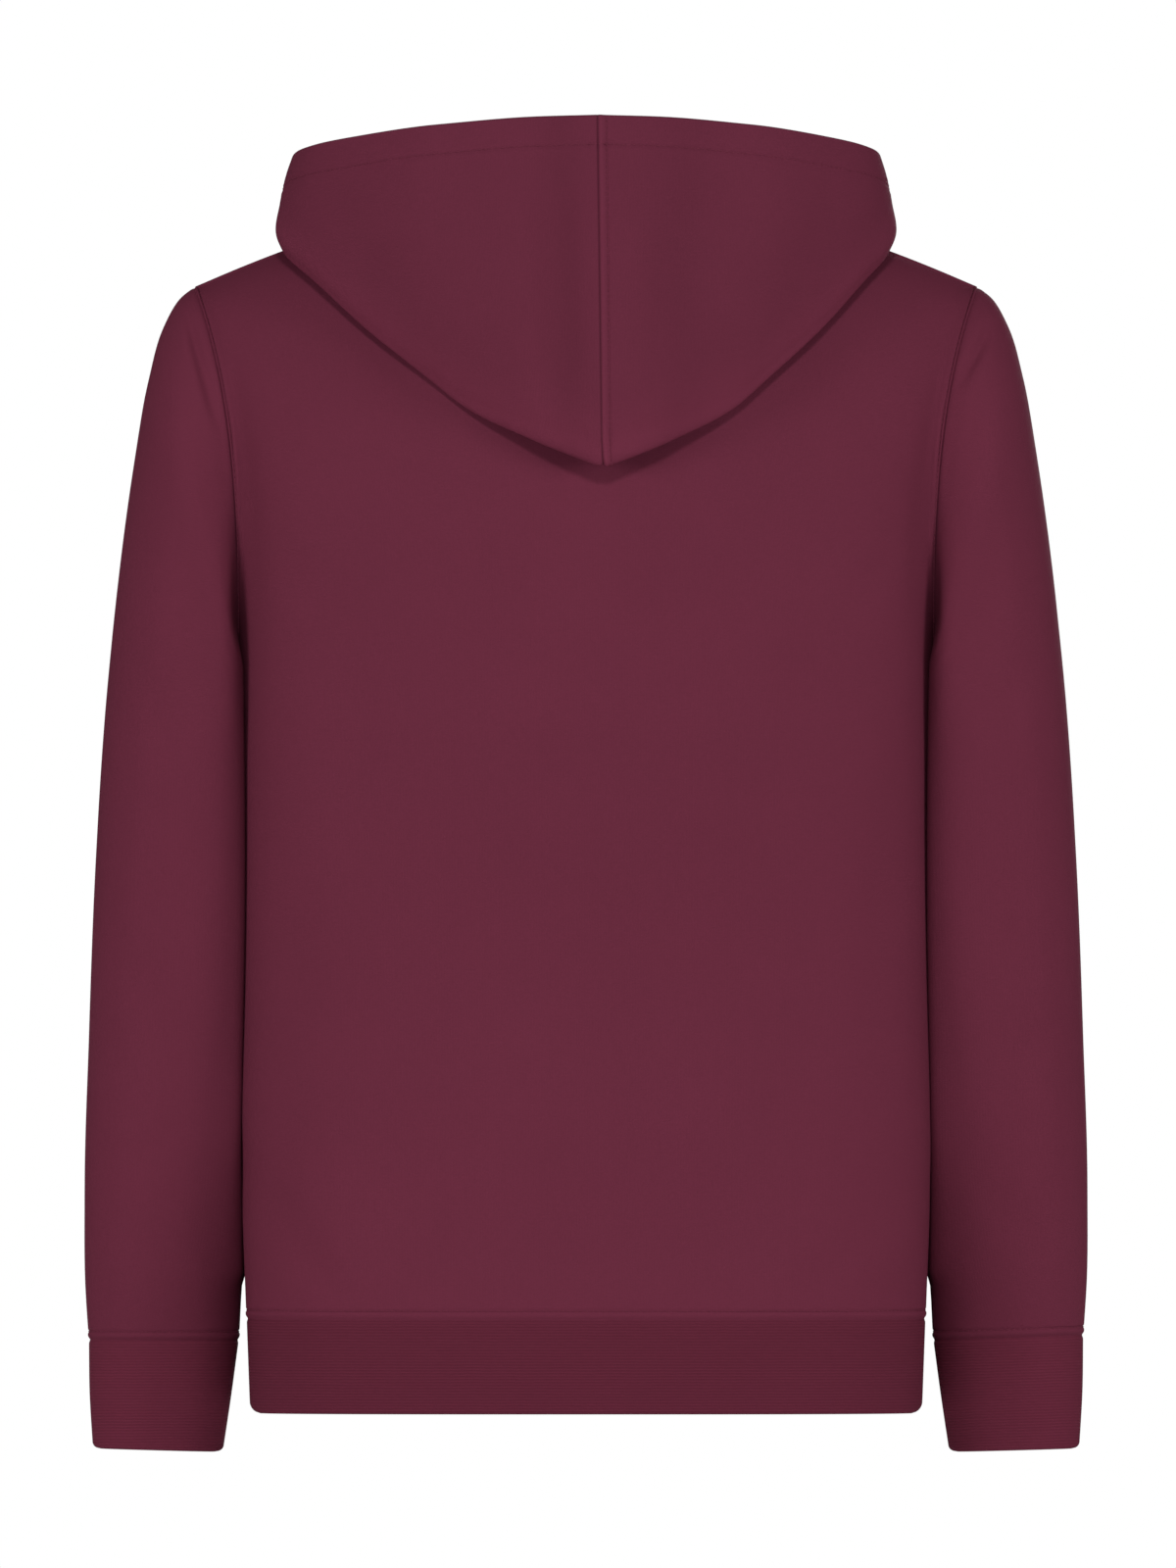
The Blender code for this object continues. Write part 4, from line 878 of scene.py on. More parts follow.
def wall(name, outer, inner, materials, coordinates, closed=False):
    """A closed wall from its outer and inner grids: quads over both, and strips round the edges, with the
    outer side in the first material and the inner side in the second. UVs are the coordinates in metres,
    with one more column than the grids where the wall closes round."""
    around, along = outer.shape[:2]
    columns = np.arange(around if closed else around - 1)
    faces = wall_faces(columns, (columns + 1) % around, along, around * along, closed)
    places = wall_faces(columns, columns + 1, along, 0, closed)
    quads = len(columns) * (along - 1)
    vertices = np.concatenate((outer.reshape(-1, 3), inner.reshape(-1, 3)))
    corner = vertices[faces[quads // 2]]
    outward = outer[around // 2, along // 2] - inner[around // 2, along // 2]
    if np.dot(np.cross(corner[1] - corner[0], corner[2] - corner[0]), outward) < 0:
        faces, places = faces[:, ::-1], places[:, ::-1]
    piece = mesh_object(name, vertices, faces, coordinates.reshape(-1, 2)[places.ravel()])
    for material in materials:
        piece.data.materials.append(material)
    index = np.zeros(len(faces), dtype=np.int32)
    index[quads:2 * quads] = len(materials) - 1
    piece.data.polygons.foreach_set("material_index", index)
    return piece


def wall_faces(near, far, along, inner, closed):
    """Corner numbers of a wall's quads: the outer grid, the inner grid from its first number on, and the
    rims."""
    left, row = np.meshgrid(near * along, np.arange(along - 1), indexing="ij")
    right = np.broadcast_to((far * along)[:, None], left.shape)
    quads = np.stack((left + row, right + row, right + row + 1, left + row + 1), -1).reshape(-1, 4)
    edges = [np.stack((far, near), -1) * along, np.stack((near, far), -1) * along + along - 1]
    if not closed:
        rows = np.arange(along - 1)
        edges += [np.stack((rows, rows + 1), -1), np.stack((rows + 1, rows), -1) + far[-1] * along]
    rims = np.concatenate([np.concatenate((edge, edge[:, ::-1] + inner), axis=1) for edge in edges])
    return np.concatenate((quads, quads[:, ::-1] + inner, rims))


def mesh_object(name, vertices, faces, coordinates=None):
    """An object from arrays of vertices and faces that all have as many corners, with UVs by corner."""
    mesh = bpy.data.meshes.new(name)
    corners = faces.shape[1]
    mesh.vertices.add(len(vertices))
    mesh.vertices.foreach_set("co", vertices.astype(np.float32).ravel())
    mesh.loops.add(faces.size)
    mesh.loops.foreach_set("vertex_index", faces.astype(np.int32).ravel())
    mesh.polygons.add(len(faces))
    mesh.polygons.foreach_set("loop_start", np.arange(0, faces.size, corners, dtype=np.int32))
    mesh.update(calc_edges=True)
    if coordinates is not None:
        mesh.uv_layers.new(name="cloth").data.foreach_set("uv", coordinates.astype(np.float32).ravel())
    mesh.shade_smooth()
    mesh.set_sharp_from_angle(angle=SHARP_ANGLE)
    piece = bpy.data.objects.new(name, mesh)
    bpy.context.scene.collection.objects.link(piece)
    return piece


def line_at(grid, measure, value):
    """The grid's points where the measure, which grows along the second axis, reaches a value."""
    index = np.clip((measure < value).sum(axis=1) - 1, 0, measure.shape[1] - 2)
    rows = np.arange(len(grid))
    low, high = measure[rows, index], measure[rows, index + 1]
    share = np.clip((value - low) / np.maximum(high - low, 1e-9), 0, 1)[:, None]
    return grid[rows, index] * (1 - share) + grid[rows, index + 1] * share


def row_at(points, normals, measure, value=TOPSTITCH):
    """The path of a row of stitches and its normals, where the measure reaches a value."""
    return line_at(points, measure, value), line_at(normals, measure, value)


# A stitch's rings, each with its place along the stitch and its share of the radius, the corners round a
# ring, and the share of the radius by which the stitch sits in the cloth
STITCH_RINGS = ((-1.0, 0.0), (-0.78, 0.75), (0.0, 1.0), (0.78, 0.75), (1.0, 0.0))
STITCH_SIDES = 6
STITCH_SINK = 0.25


def stitches(path, normals, length, gap, radius):
    """Vertices and quads of a row of stitches: each is a round bead, drawn out along the path, that swells
    from a point to the radius and back."""
    travelled = np.append(0, np.cumsum(np.linalg.norm(np.diff(path, axis=0), axis=-1)))
    count = max(1, int(travelled[-1] / (length + gap)))
    middles = (np.arange(count) + 0.5) * travelled[-1] / count
    ends = [np.stack([np.interp(middles + shift, travelled, path[:, axis]) for axis in range(3)], -1)
            for shift in (-length / 2, length / 2)]
    outward = unit(np.stack([np.interp(middles, travelled, normals[:, axis]) for axis in range(3)], -1))
    centre = (ends[0] + ends[1]) / 2 + outward * radius * (1 - 2 * STITCH_SINK)
    along = (ends[1] - ends[0]) / 2
    across = unit(np.cross(along, outward))
    angle = 2 * math.pi * np.arange(STITCH_SIDES) / STITCH_SIDES
    place, size = np.array(STITCH_RINGS).T
    ring = (np.cos(angle)[:, None, None] * across + np.sin(angle)[:, None, None] * outward) * radius
    vertices = centre + place[:, None, None, None] * along + size[:, None, None, None] * ring[None]
    vertices = vertices.transpose(2, 0, 1, 3).reshape(-1, 3)
    return repeated(vertices, tube_quads(len(place), STITCH_SIDES), count)


def tube_quads(rings, around):
    """Corner numbers of the quads between rings of so many points, numbered ring by ring."""
    ring, corner = np.meshgrid(np.arange(rings - 1), np.arange(around), indexing="ij")
    near, far = ring * around + corner, ring * around + (corner + 1) % around
    return np.stack((near, far, far + around, near + around), -1).reshape(-1, 4)


def repeated(vertices, quads, count):
    """The vertices of several like shapes one after another, and the quads of all of them."""
    each = len(vertices) // count
    return vertices, (quads[None] + each * np.arange(count)[:, None, None]).reshape(-1, 4)


def joined(name, parts, material):
    """One object from several sets of vertices and quads."""
    offsets = np.cumsum([0] + [len(vertices) for vertices, _ in parts])
    vertices = np.concatenate([vertices for vertices, _ in parts])
    quads = np.concatenate([quads + offset for (_, quads), offset in zip(parts, offsets)])
    piece = mesh_object(name, vertices, quads)
    piece.data.materials.append(material)
    return piece


def merge_poles(piece):
    """Merges the doubled points at the poles of closed small shapes, and turns their faces outwards."""
    shape = bmesh.new()
    shape.from_mesh(piece.data)
    bmesh.ops.remove_doubles(shape, verts=shape.verts, dist=MERGE_DISTANCE)
    bmesh.ops.recalc_face_normals(shape, faces=shape.faces)
    shape.to_mesh(piece.data)
    shape.free()


# Materials. SHADES are a darker and a lighter share of a colour, and a BUMP is its height and its strength

WHITE = (1.0, 1.0, 1.0)
MIX_INPUTS = (0, 6, 7)
MIX_OUTPUT = 2
CLOTH_SPECULAR = 0.03
HARD_SPECULAR = 0.5
SHEEN_ROUGHNESS = 0.4
SHEEN_TINT = (0.8, 0.16, 0.27, 1)
COURSE_SHARE = 0.8
SPECK_STRETCH = (0.45, 0.45, 1.6)
SCRATCH_STRETCH = (1, 1, 0.12)
# The knit's shades paint its gaps darker and its loops lighter: painted shade and painted light.
KNIT_PAINTED_SHADES, KNIT_BUMP, NAP_BUMP = (0.93, 1.03), (0.00012, 0.5), (0.00025, 0.4)
INSIDE_TONE, TUFT_BUMP = 1.12, (0.0011, 0.7)
# The rib's shades paint its grooves darker and its lines lighter: painted shade and painted light.
RIB_PAINTED_SHADES, RIB_BUMP, RIB_KNIT_BUMP = (0.90, 1.06), (0.00030, 0.55), (0.00010, 0.5)
THREAD_SHADES, THREAD_BUMP = (0.85, 1.12), (0.0002, 0.5)
# The twill's shades paint its hollows darker and its raised lines lighter: painted shade and painted light.
TWILL_PITCH, TWILL_PAINTED_SHADES, TWILL_BUMP = 0.0012, (0.82, 1.08), (0.00025, 0.6)
PLASTIC_SHADES, PLASTIC_BUMP = (0.9, 1.1), (0.0001, 0.3)
METAL_SHADES, METAL_BUMP = (0.8, 1.15), (0.00004, 0.35)
# The cuffs' rib is painted lighter than the hem band's: a painted light.
CUFF_PAINTED_LIGHT = 1.18


class Tree:
    """A node tree to which nodes are added and linked."""

    def __init__(self, tree):
        self.tree = tree

    def connect(self, source, socket):
        """Links a source to a socket, or sets the socket to a value; None leaves it alone."""
        if isinstance(source, bpy.types.NodeSocket):
            self.tree.links.new(source, socket)
        elif source is not None:
            socket.default_value = source

    def connect_named(self, node, **sources):
        """Links or sets a node's inputs by their names."""
        for label, source in sources.items():
            self.connect(source, node.inputs[label])

    def add(self, kind, *sources, **settings):
        """A node with its settings, and its inputs, in order, from sockets or values."""
        node = self.tree.nodes.new(kind)
        for name, value in settings.items():
            setattr(node, name, value)
        for socket, source in zip(node.inputs, sources):
            self.connect(source, socket)
        return node

    def math(self, operation, *sources):
        """The result of a Math node."""
        return self.add("ShaderNodeMath", *sources, operation=operation).outputs[0]

    def blend(self, share, first, second, blend_type="MIX"):
        """The mix of two colours by a share."""
        node = self.add("ShaderNodeMix", data_type="RGBA", blend_type=blend_type)
        for number, source in zip(MIX_INPUTS, (share, first, second)):
            self.connect(source, node.inputs[number])
        return node.outputs[MIX_OUTPUT]

    def times(self, first, second):
        """The product of two colours."""
        return self.blend(1.0, first, second, "MULTIPLY")

    def shaded(self, share, colour, shades):
        """The mix of a darker and a lighter shade of a colour by a share."""
        return self.blend(share, *(shade(colour, factor) for factor in shades))

    def stretched(self, vector, stretch):
        """A vector with each coordinate times its own stretch."""
        return self.add("ShaderNodeVectorMath", vector, stretch, operation="MULTIPLY").outputs[0]

    def noise(self, vector, scale, detail=2.0, roughness=0.5):
        """The value of a noise texture."""
        node = self.add("ShaderNodeTexNoise")
        self.connect_named(node, Vector=vector, Scale=scale, Detail=detail, Roughness=roughness)
        return node.outputs["Fac"]

    def bump(self, height, distance, strength, normal=None):
        """The normal of a Bump node over a height in units of the distance."""
        node = self.add("ShaderNodeBump")
        self.connect_named(node, Strength=strength, Distance=distance, Height=height, Normal=normal)
        return node.outputs["Normal"]


def effect(name, inputs, outputs, fill):
    """The shader node group of this name. When it is first asked for, it gets its float or vector inputs and
    its float outputs, and fill adds its nodes."""
    if name in bpy.data.node_groups:
        return bpy.data.node_groups[name]
    group = bpy.data.node_groups.new(name, "ShaderNodeTree")
    for label, kind, value in inputs:
        socket = group.interface.new_socket(label, in_out="INPUT", socket_type=f"NodeSocket{kind}")
        if kind == "Float":
            socket.default_value = value
    for label in outputs:
        group.interface.new_socket(label, in_out="OUTPUT", socket_type="NodeSocketFloat")
    tree = Tree(group)
    fill(tree, tree.add("NodeGroupInput").outputs, tree.add("NodeGroupOutput").inputs)
    return group


def knit_nodes(tree, given, result):
    """Plain knit: wales of V stitches. The height falls with the square of the distance from a wale's middle,
    times a cosine along the wale whose phase grows towards the wale's edges."""
    place = tree.add("ShaderNodeSeparateXYZ", given["Vector"]).outputs
    wale = tree.math("SUBTRACT", tree.math("FRACT", tree.math("DIVIDE", place[0], given["Wale"])), 0.5)
    aside = tree.math("MULTIPLY", tree.math("ABSOLUTE", wale), 2.0)
    lean = tree.math("MULTIPLY", aside, 0.5)
    phase = tree.math("ADD", tree.math("DIVIDE", place[1], given["Course"]), lean)
    loop = tree.math("COSINE", tree.math("MULTIPLY", phase, 2 * math.pi))
    ridge = tree.math("SUBTRACT", 1.0, tree.math("MULTIPLY", aside, aside))
    height = tree.math("MULTIPLY", ridge, tree.math("MULTIPLY_ADD", loop, 0.35, 0.65))
    tree.connect(height, result["Height"])


def knit_effect():
    """The height of plain knit, from its coordinates and the size of its stitches."""
    inputs = (("Vector", "Vector", None), ("Wale", "Float", 0.0011), ("Course", "Float", 0.0009))
    return effect("knit face", inputs, ("Height",), knit_nodes)


def tone_nodes(tree, given, result):
    """Two noises: broad patches, and specks of fibre drawn out along the courses."""
    tree.connect(tree.noise(given["Vector"], given["Patches"], 3.0), result["Patch"])
    drawn = tree.stretched(given["Vector"], SPECK_STRETCH)
    tree.connect(tree.noise(drawn, given["Specks"], 3.0), result["Speck"])


def tone_effect():
    """The slow and the fine unevenness of dyed cloth."""
    inputs = (("Vector", "Vector", None), ("Patches", "Float", 14.0), ("Specks", "Float", 900.0))
    return effect("cloth tone", inputs, ("Patch", "Speck"), tone_nodes)


def painted_line_nodes(tree, given, result):
    """A bell over the distance less the line's own place."""
    offset = tree.math("DIVIDE", tree.math("SUBTRACT", given["Distance"], given["Place"]), given["Width"])
    square = tree.math("MULTIPLY", offset, offset)
    tree.connect(tree.math("EXPONENT", tree.math("MULTIPLY", square, -1.0)), result["Share"])


def painted_line_effect():
    """The share of a painted light or shade beside a line."""
    inputs = (("Distance", "Float", 0.0), ("Place", "Float", 0.01), ("Width", "Float", 0.01))
    return effect("painted light line", inputs, ("Share",), painted_line_nodes)


def placed(tree, group, **sources):
    """The outputs of a node group placed in a material's tree, with its inputs by name."""
    node = tree.add("ShaderNodeGroup", node_tree=group)
    tree.connect_named(node, **sources)
    return node.outputs


def material_tree(name, roughness, metallic=0.0, sheen=0.0, specular=CLOTH_SPECULAR):
    """A new material, its tree, and its Principled shader with the even values set on its own sockets."""
    material = bpy.data.materials.new(name)
    material.use_nodes = True
    shader = material.node_tree.nodes["Principled BSDF"]
    for label, value in (
        ("Roughness", roughness), ("Metallic", metallic), ("Specular IOR Level", specular),
        ("Sheen Weight", sheen), ("Sheen Roughness", SHEEN_ROUGHNESS), ("Sheen Tint", SHEEN_TINT),
    ):
        shader.inputs[label].default_value = value
    return material, Tree(material.node_tree), shader


def shade(colour, factor):
    """A colour made darker or lighter."""
    return (colour[0] * factor, colour[1] * factor, colour[2] * factor, 1.0)


def toned(tree, colour, tones, patch=0.05, speck=0.07):
    """The colour with its patches and specks: each noise mixes a darker and a lighter shade."""
    broad = tree.shaded(tones["Patch"], colour, (1 - patch, 1 + patch))
    return tree.times(broad, tree.shaded(tones["Speck"], WHITE, (1 - speck, 1 + speck)))


def knitted(tree, cloth):
    """The coordinates of a knitted cloth, the height of its knit and its tones."""
    coordinates = tree.add("ShaderNodeTexCoord").outputs
    course = cloth.wale * COURSE_SHARE
    knit = placed(tree, knit_effect(), Vector=coordinates["UV"], Wale=cloth.wale, Course=course)
    return coordinates, knit["Height"], placed(tree, tone_effect(), Vector=coordinates["Object"])


def fleece_face(name, colour, cloth, painted_light_lines=()):
    """The smooth knitted face of the fleece, its knit's gaps painted darker as shade, and light and shade
    painted along the given lines.
    """
    material, tree, shader = material_tree(name, 0.9, sheen=0.02)
    coordinates, knit, tones = knitted(tree, cloth)
    # The knit's gaps are painted darker and its loops lighter: painted shade and painted light.
    base = tree.times(toned(tree, colour, tones), tree.shaded(knit, WHITE, KNIT_PAINTED_SHADES))
    axes = tree.add("ShaderNodeSeparateXYZ", coordinates["UV"]).outputs
    # Each line paints light or shade into the colour: lighter or darker by a bell across it.
    for axis, place, width, lighter in painted_light_lines:
        line = placed(tree, painted_line_effect(), Distance=axes[axis], Place=place, Width=width)
        base = tree.times(base, tree.shaded(line["Share"], WHITE, (1, 1 + lighter)))
    tree.connect(base, shader.inputs["Base Color"])
    rough = tree.bump(knit, *KNIT_BUMP)
    tree.connect(tree.bump(tones["Speck"], *NAP_BUMP, rough), shader.inputs["Normal"])
    return material


def fleece_inside(name, colour):
    """The brushed, hairy inner side of the fleece."""
    material, tree, shader = material_tree(name, 0.95, sheen=0.08)
    place = tree.add("ShaderNodeTexCoord").outputs["Object"]
    tones = placed(tree, tone_effect(), Vector=place, Specks=420.0)
    base = toned(tree, shade(colour, INSIDE_TONE), tones, patch=0.08, speck=0.16)
    tree.connect(base, shader.inputs["Base Color"])
    tufts = tree.noise(place, 520.0, 6.0, 0.7)
    tree.connect(tree.bump(tufts, *TUFT_BUMP), shader.inputs["Normal"])
    return material


def rib_face(name, colour, cloth):
    """Ribbed cloth whose fine lines run round the band: a sine of the height over the line's spacing, which
    wanders a little."""
    material, tree, shader = material_tree(name, 0.9, sheen=0.02)
    coordinates, knit, tones = knitted(tree, cloth)
    along = tree.add("ShaderNodeSeparateXYZ", coordinates["UV"]).outputs[1]
    wander = tree.math("MULTIPLY", tree.noise(coordinates["UV"], 60.0), 0.35)
    turns = tree.math("ADD", tree.math("DIVIDE", along, cloth.rib_spacing), wander)
    line = tree.math("MULTIPLY_ADD", tree.math("SINE", tree.math("MULTIPLY", turns, 2 * math.pi)), 0.5, 0.5)
    # The rib's grooves are painted darker and its lines lighter: painted shade and painted light.
    base = tree.times(toned(tree, colour, tones), tree.shaded(line, WHITE, RIB_PAINTED_SHADES))
    tree.connect(base, shader.inputs["Base Color"])
    fine = tree.bump(knit, *RIB_KNIT_BUMP)
    tree.connect(tree.bump(line, *RIB_BUMP, fine), shader.inputs["Normal"])
    return material


def tape_weave(name, colour):
    """Woven zip tape: a fine twill, the product of two sines of the UVs turned half way."""
    material, tree, shader = material_tree(name, 0.75, sheen=0.1)
    coordinates = tree.add("ShaderNodeTexCoord").outputs
    place = tree.add("ShaderNodeSeparateXYZ", coordinates["UV"]).outputs
    turns = 2 * math.pi / TWILL_PITCH
    rise = tree.math("SINE", tree.math("MULTIPLY", tree.math("ADD", place[0], place[1]), turns))
    fall = tree.math("SINE", tree.math("MULTIPLY", tree.math("SUBTRACT", place[0], place[1]), turns / 2))
    weave = tree.math("MULTIPLY_ADD", tree.math("MULTIPLY", rise, fall), 0.5, 0.5)
    # The twill's hollows are painted darker and its raised lines lighter: painted shade and painted light.
    tree.connect(tree.shaded(weave, colour, TWILL_PAINTED_SHADES), shader.inputs["Base Color"])
    tree.connect(tree.bump(weave, *TWILL_BUMP), shader.inputs["Normal"])
    return material


def grained(name, colour, scale, detail, shades, bump, **finish):
    """A finish with an even grain: a noise mixes its two shades and raises its surface."""
    material, tree, shader = material_tree(name, **finish)
    grain = tree.noise(tree.add("ShaderNodeTexCoord").outputs["Object"], scale, detail)
    tree.connect(tree.shaded(grain, colour, shades), shader.inputs["Base Color"])
    tree.connect(tree.bump(grain, *bump), shader.inputs["Normal"])
    return material


def thread(name, colour):
    """Twisted sewing thread, a little glossier than the cloth."""
    return grained(name, colour, 2600.0, 2.0, THREAD_SHADES, THREAD_BUMP, roughness=0.6, sheen=0.1)


def teeth_plastic(name, colour):
    """Moulded teeth in the tape's colour."""
    return grained(name, colour, 1800.0, 3.0, PLASTIC_SHADES, PLASTIC_BUMP, roughness=0.36,
                   specular=HARD_SPECULAR)


def zip_metal(name, colour):
    """Plated metal with fine rubbing marks and duller patches."""
    material, tree, shader = material_tree(name, 0.32, metallic=1.0, specular=HARD_SPECULAR)
    place = tree.add("ShaderNodeTexCoord").outputs["Object"]
    patches = tree.noise(place, 260.0, 4.0)
    scratch = tree.noise(tree.stretched(place, SCRATCH_STRETCH), 2400.0, 2.0)
    tree.connect(tree.shaded(patches, colour, METAL_SHADES), shader.inputs["Base Color"])
    tree.connect(tree.math("MULTIPLY_ADD", patches, 0.22, 0.22), shader.inputs["Roughness"])
    tree.connect(tree.bump(scratch, *METAL_BUMP), shader.inputs["Normal"])
    return material


def cloth_settings():
    """The cloth's properties, as the panel shows them."""
    return bpy.context.scene.hoodie_cloth


def made_once(name, maker, *arguments):
    """A material by its name, made the first time that it is asked for."""
    return bpy.data.materials.get(name) or maker(name, *arguments)


def fleece_materials():
    """The face and the inside of the fleece."""
    cloth = cloth_settings()
    colour = tuple(cloth.fleece_colour)
    return (made_once("fleece_face", fleece_face, colour, cloth),
            made_once("fleece_inside", fleece_inside, colour))


def hood_materials():
    """The face and the inside of the hood's fleece. The face's colour is darker than the fleece's, a painted
    shade, and lines of painted light and shade lie on it.
    """
    cloth = cloth_settings()
    face = made_once("hood_face", fleece_face, tuple(cloth.hood_painted_shade_colour), cloth, HOOD_PAINTED_LIGHT_LINES)
    return face, fleece_materials()[1]


def rib_materials(name="rib_face", lighter=1.0):
    """The rib, which is folded double and shows the same face on both sides, painted lighter by a factor: a
    painted light."""
    cloth = cloth_settings()
    return (made_once(name, rib_face, tuple(lighter * part for part in cloth.rib_colour), cloth),)


# Pieces

DOWN = (slice(None), slice(None, None, -1))
SIDES = (("left", np.array), ("right", mirrored))


def rolled(distance, radius):
    """How far a rounded edge falls back at a distance from its end: a quarter circle of the radius."""
    short = np.clip(radius - distance, 0, radius)
    return radius - np.sqrt(radius**2 - short**2)


def both_halves(grid, mirror=False):
    """A half grid with its mirror image before it, sharing the centre column."""
    other = mirrored(grid) if mirror else grid
    return np.concatenate((other[:0:-1], grid))


def dressed(name, node, points, normals, thickness, reliefs, materials, coordinates, closed=False, dip=0.0):
    """The wall of a cloth piece in place of its node, with the outer and the inner relief and the outer
    side's dip, and its outer points."""
    outer_relief, inner_relief = reliefs
    outer = points + normals * outer_relief[..., None] + dip
    inner = points + normals * (inner_relief - thickness)[..., None]
    piece = wall(name, outer, inner, materials, coordinates, closed)
    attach(piece, "garment")
    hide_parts(node)
    return piece, outer


def sewn(name, lines):
    """All the stitches of a piece: rows along paths on its surface, each with the path's normals."""
    cloth = cloth_settings()
    rows = [stitches(path, normals, cloth.stitch_length, cloth.stitch_gap, cloth.thread_radius)
            for path, normals in lines]
    piece = joined(name, rows, made_once("thread", thread, tuple(cloth.thread_colour)))
    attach(piece, "garment")
    return piece


def torso_relief(points, from_top, from_side, table, side, zip_edge=None):
    """The outer and the inner relief of a torso panel: creases away from its edges, and seams along them."""
    cloth = cloth_settings()
    depth = cloth.seam_depth
    from_hem = arc(points)
    clear = ease(from_top / SEAM_CLEAR) * ease(from_side / SEAM_CLEAR) * ease(from_hem / END_CLEAR)
    if zip_edge is not None:
        clear = clear * ease(zip_edge / END_CLEAR)
    broad = creases(points, table, side) * clear * cloth.crease_strength
    fine = seam(from_top, depth, TOP_SEAM)
    fine += seam(from_side, depth, SIDE_SEAM)
    fine += seam(from_hem, depth, END_SEAM, END_RIDGE)
    if zip_edge is not None:
        fine += seam(zip_edge, depth, ZIP_SEAM) - rolled(zip_edge, ZIP_EDGE_ROLL)
    return broad + fine, broad


def top_dip(columns, from_top, back):
    """The valley along a torso panel's top edge, towards the inside of the seam."""
    valley = -cloth_settings().seam_depth * bell(from_top / SEAM_WIDTH)
    return valley[..., None] * armhole_dip(columns, back)[:, None]


def make_back():
    """The back panel with its stitches."""
    points, normals, from_top, from_side = torso_panel(1, marked(BACK_MARKS), marked(TORSO_ROW_MARKS))
    dip = both_halves(top_dip(marked(BACK_MARKS), from_top, 1), mirror=True)
    across = arc(points, axis=0)
    points = both_halves(points, mirror=True)
    normals = both_halves(normals, mirror=True)
    from_top, from_side = both_halves(from_top), both_halves(from_side)
    across = np.concatenate((-across[:0:-1], across))
    climbed = arc(points)
    reliefs = torso_relief(points, from_top, from_side, BACK_CREASES, 1)
    piece, outer = dressed("back_cloth", "back", points, normals, FLEECE, reliefs, fleece_materials(),
                           np.stack((across, climbed), -1), dip=dip)
    thread_rows = sewn("back_stitches", (
        row_at(outer[DOWN], normals[DOWN], from_top[DOWN]),
        row_at(outer, normals, climbed),
    ))


def make_fronts():
    """The two fronts, their stitches and the row beside the zip."""
    points, normals, from_top, from_side = torso_panel(-1, marked(FRONT_MARKS), marked(TORSO_ROW_MARKS))
    dip = top_dip(marked(FRONT_MARKS), from_top, -1)
    zip_edge = arc(points, axis=0)
    climbed = arc(points)
    for side, place in SIDES:
        outward = place(normals)
        reliefs = torso_relief(place(points), from_top, from_side, FRONT_CREASES, -1, zip_edge)
        piece, outer = dressed(f"front_{side}_cloth", f"front_{side}", place(points), outward, FLEECE,
                               reliefs, fleece_materials(), np.stack((zip_edge, climbed), -1),
                               dip=place(dip))
        thread_rows = sewn(f"front_{side}_stitches", (
            row_at(outer[DOWN], outward[DOWN], from_top[DOWN]),
            row_at(outer, outward, climbed),
            row_at(outer.transpose(1, 0, 2), outward.transpose(1, 0, 2), zip_edge.T),
        ))


def round_coordinates(points, along):
    """UVs of a closed tube: the distance round each ring, up to its whole length, and the one along it."""
    closed = np.concatenate((points, points[:1]))
    return np.stack((arc(closed, axis=0), np.concatenate((along, along[:1]))), -1)


def make_sleeves():
    """Both sleeves, with the seam at the armhole and the stitched one at the cuff."""
    cloth = cloth_settings()
    for (side, place), rise, back_table in zip(
        SIDES, (0.0, RIGHT_CUFF_RISE), (SLEEVE_LEFT_BACK_CREASES, SLEEVE_RIGHT_BACK_CREASES)
    ):
        points, normals, travelled, shared = sleeve_wall(rise)
        left = travelled[:, -1:] - travelled
        clear = ease(travelled / ARMHOLE_CLEAR) * ease(left / END_CLEAR)
        from_inside = points[..., 0] - points[..., 0].mean(axis=0) + SLEEVE_INNER_FADE
        broad = creases(place(points), back_table, 1) + creases(points, SLEEVE_FRONT_CREASES, -1)
        broad = broad * clear * ease(from_inside / SLEEVE_INNER_FADE) * cloth.crease_strength
        dip = -cloth.seam_depth * bell(travelled / SEAM_WIDTH)[..., None] * shared
        fine = seam(left, cloth.seam_depth, END_SEAM, END_RIDGE)
        outward = place(normals)
        piece, outer = dressed(f"sleeve_{side}_cloth", f"sleeve_{side}", place(points), outward, FLEECE,
                               (broad + fine, broad), fleece_materials(),
                               round_coordinates(points, travelled), closed=True, dip=place(dip))
        row, row_normals = row_at(outer[DOWN], outward[DOWN], left[DOWN])
        ring = np.append(np.arange(len(row)), 0)
        thread_rows = sewn(f"sleeve_{side}_stitches", ((row[ring], row_normals[ring]),))


def band_relief(from_top, from_bottom, at_corner, corner):
    """The outer and the inner relief of a rib band: it curls in at its corners, its lower edge is a soft
    fold, and its upper edge dips into the seam."""
    curl = -rolled(from_bottom, corner) * at_corner
    fold = rolled(from_bottom, BAND_FOLD_SHARE * RIB)
    outer = curl - fold + seam(from_top, cloth_settings().seam_depth, RIB_SEAM)
    return outer, curl + fold


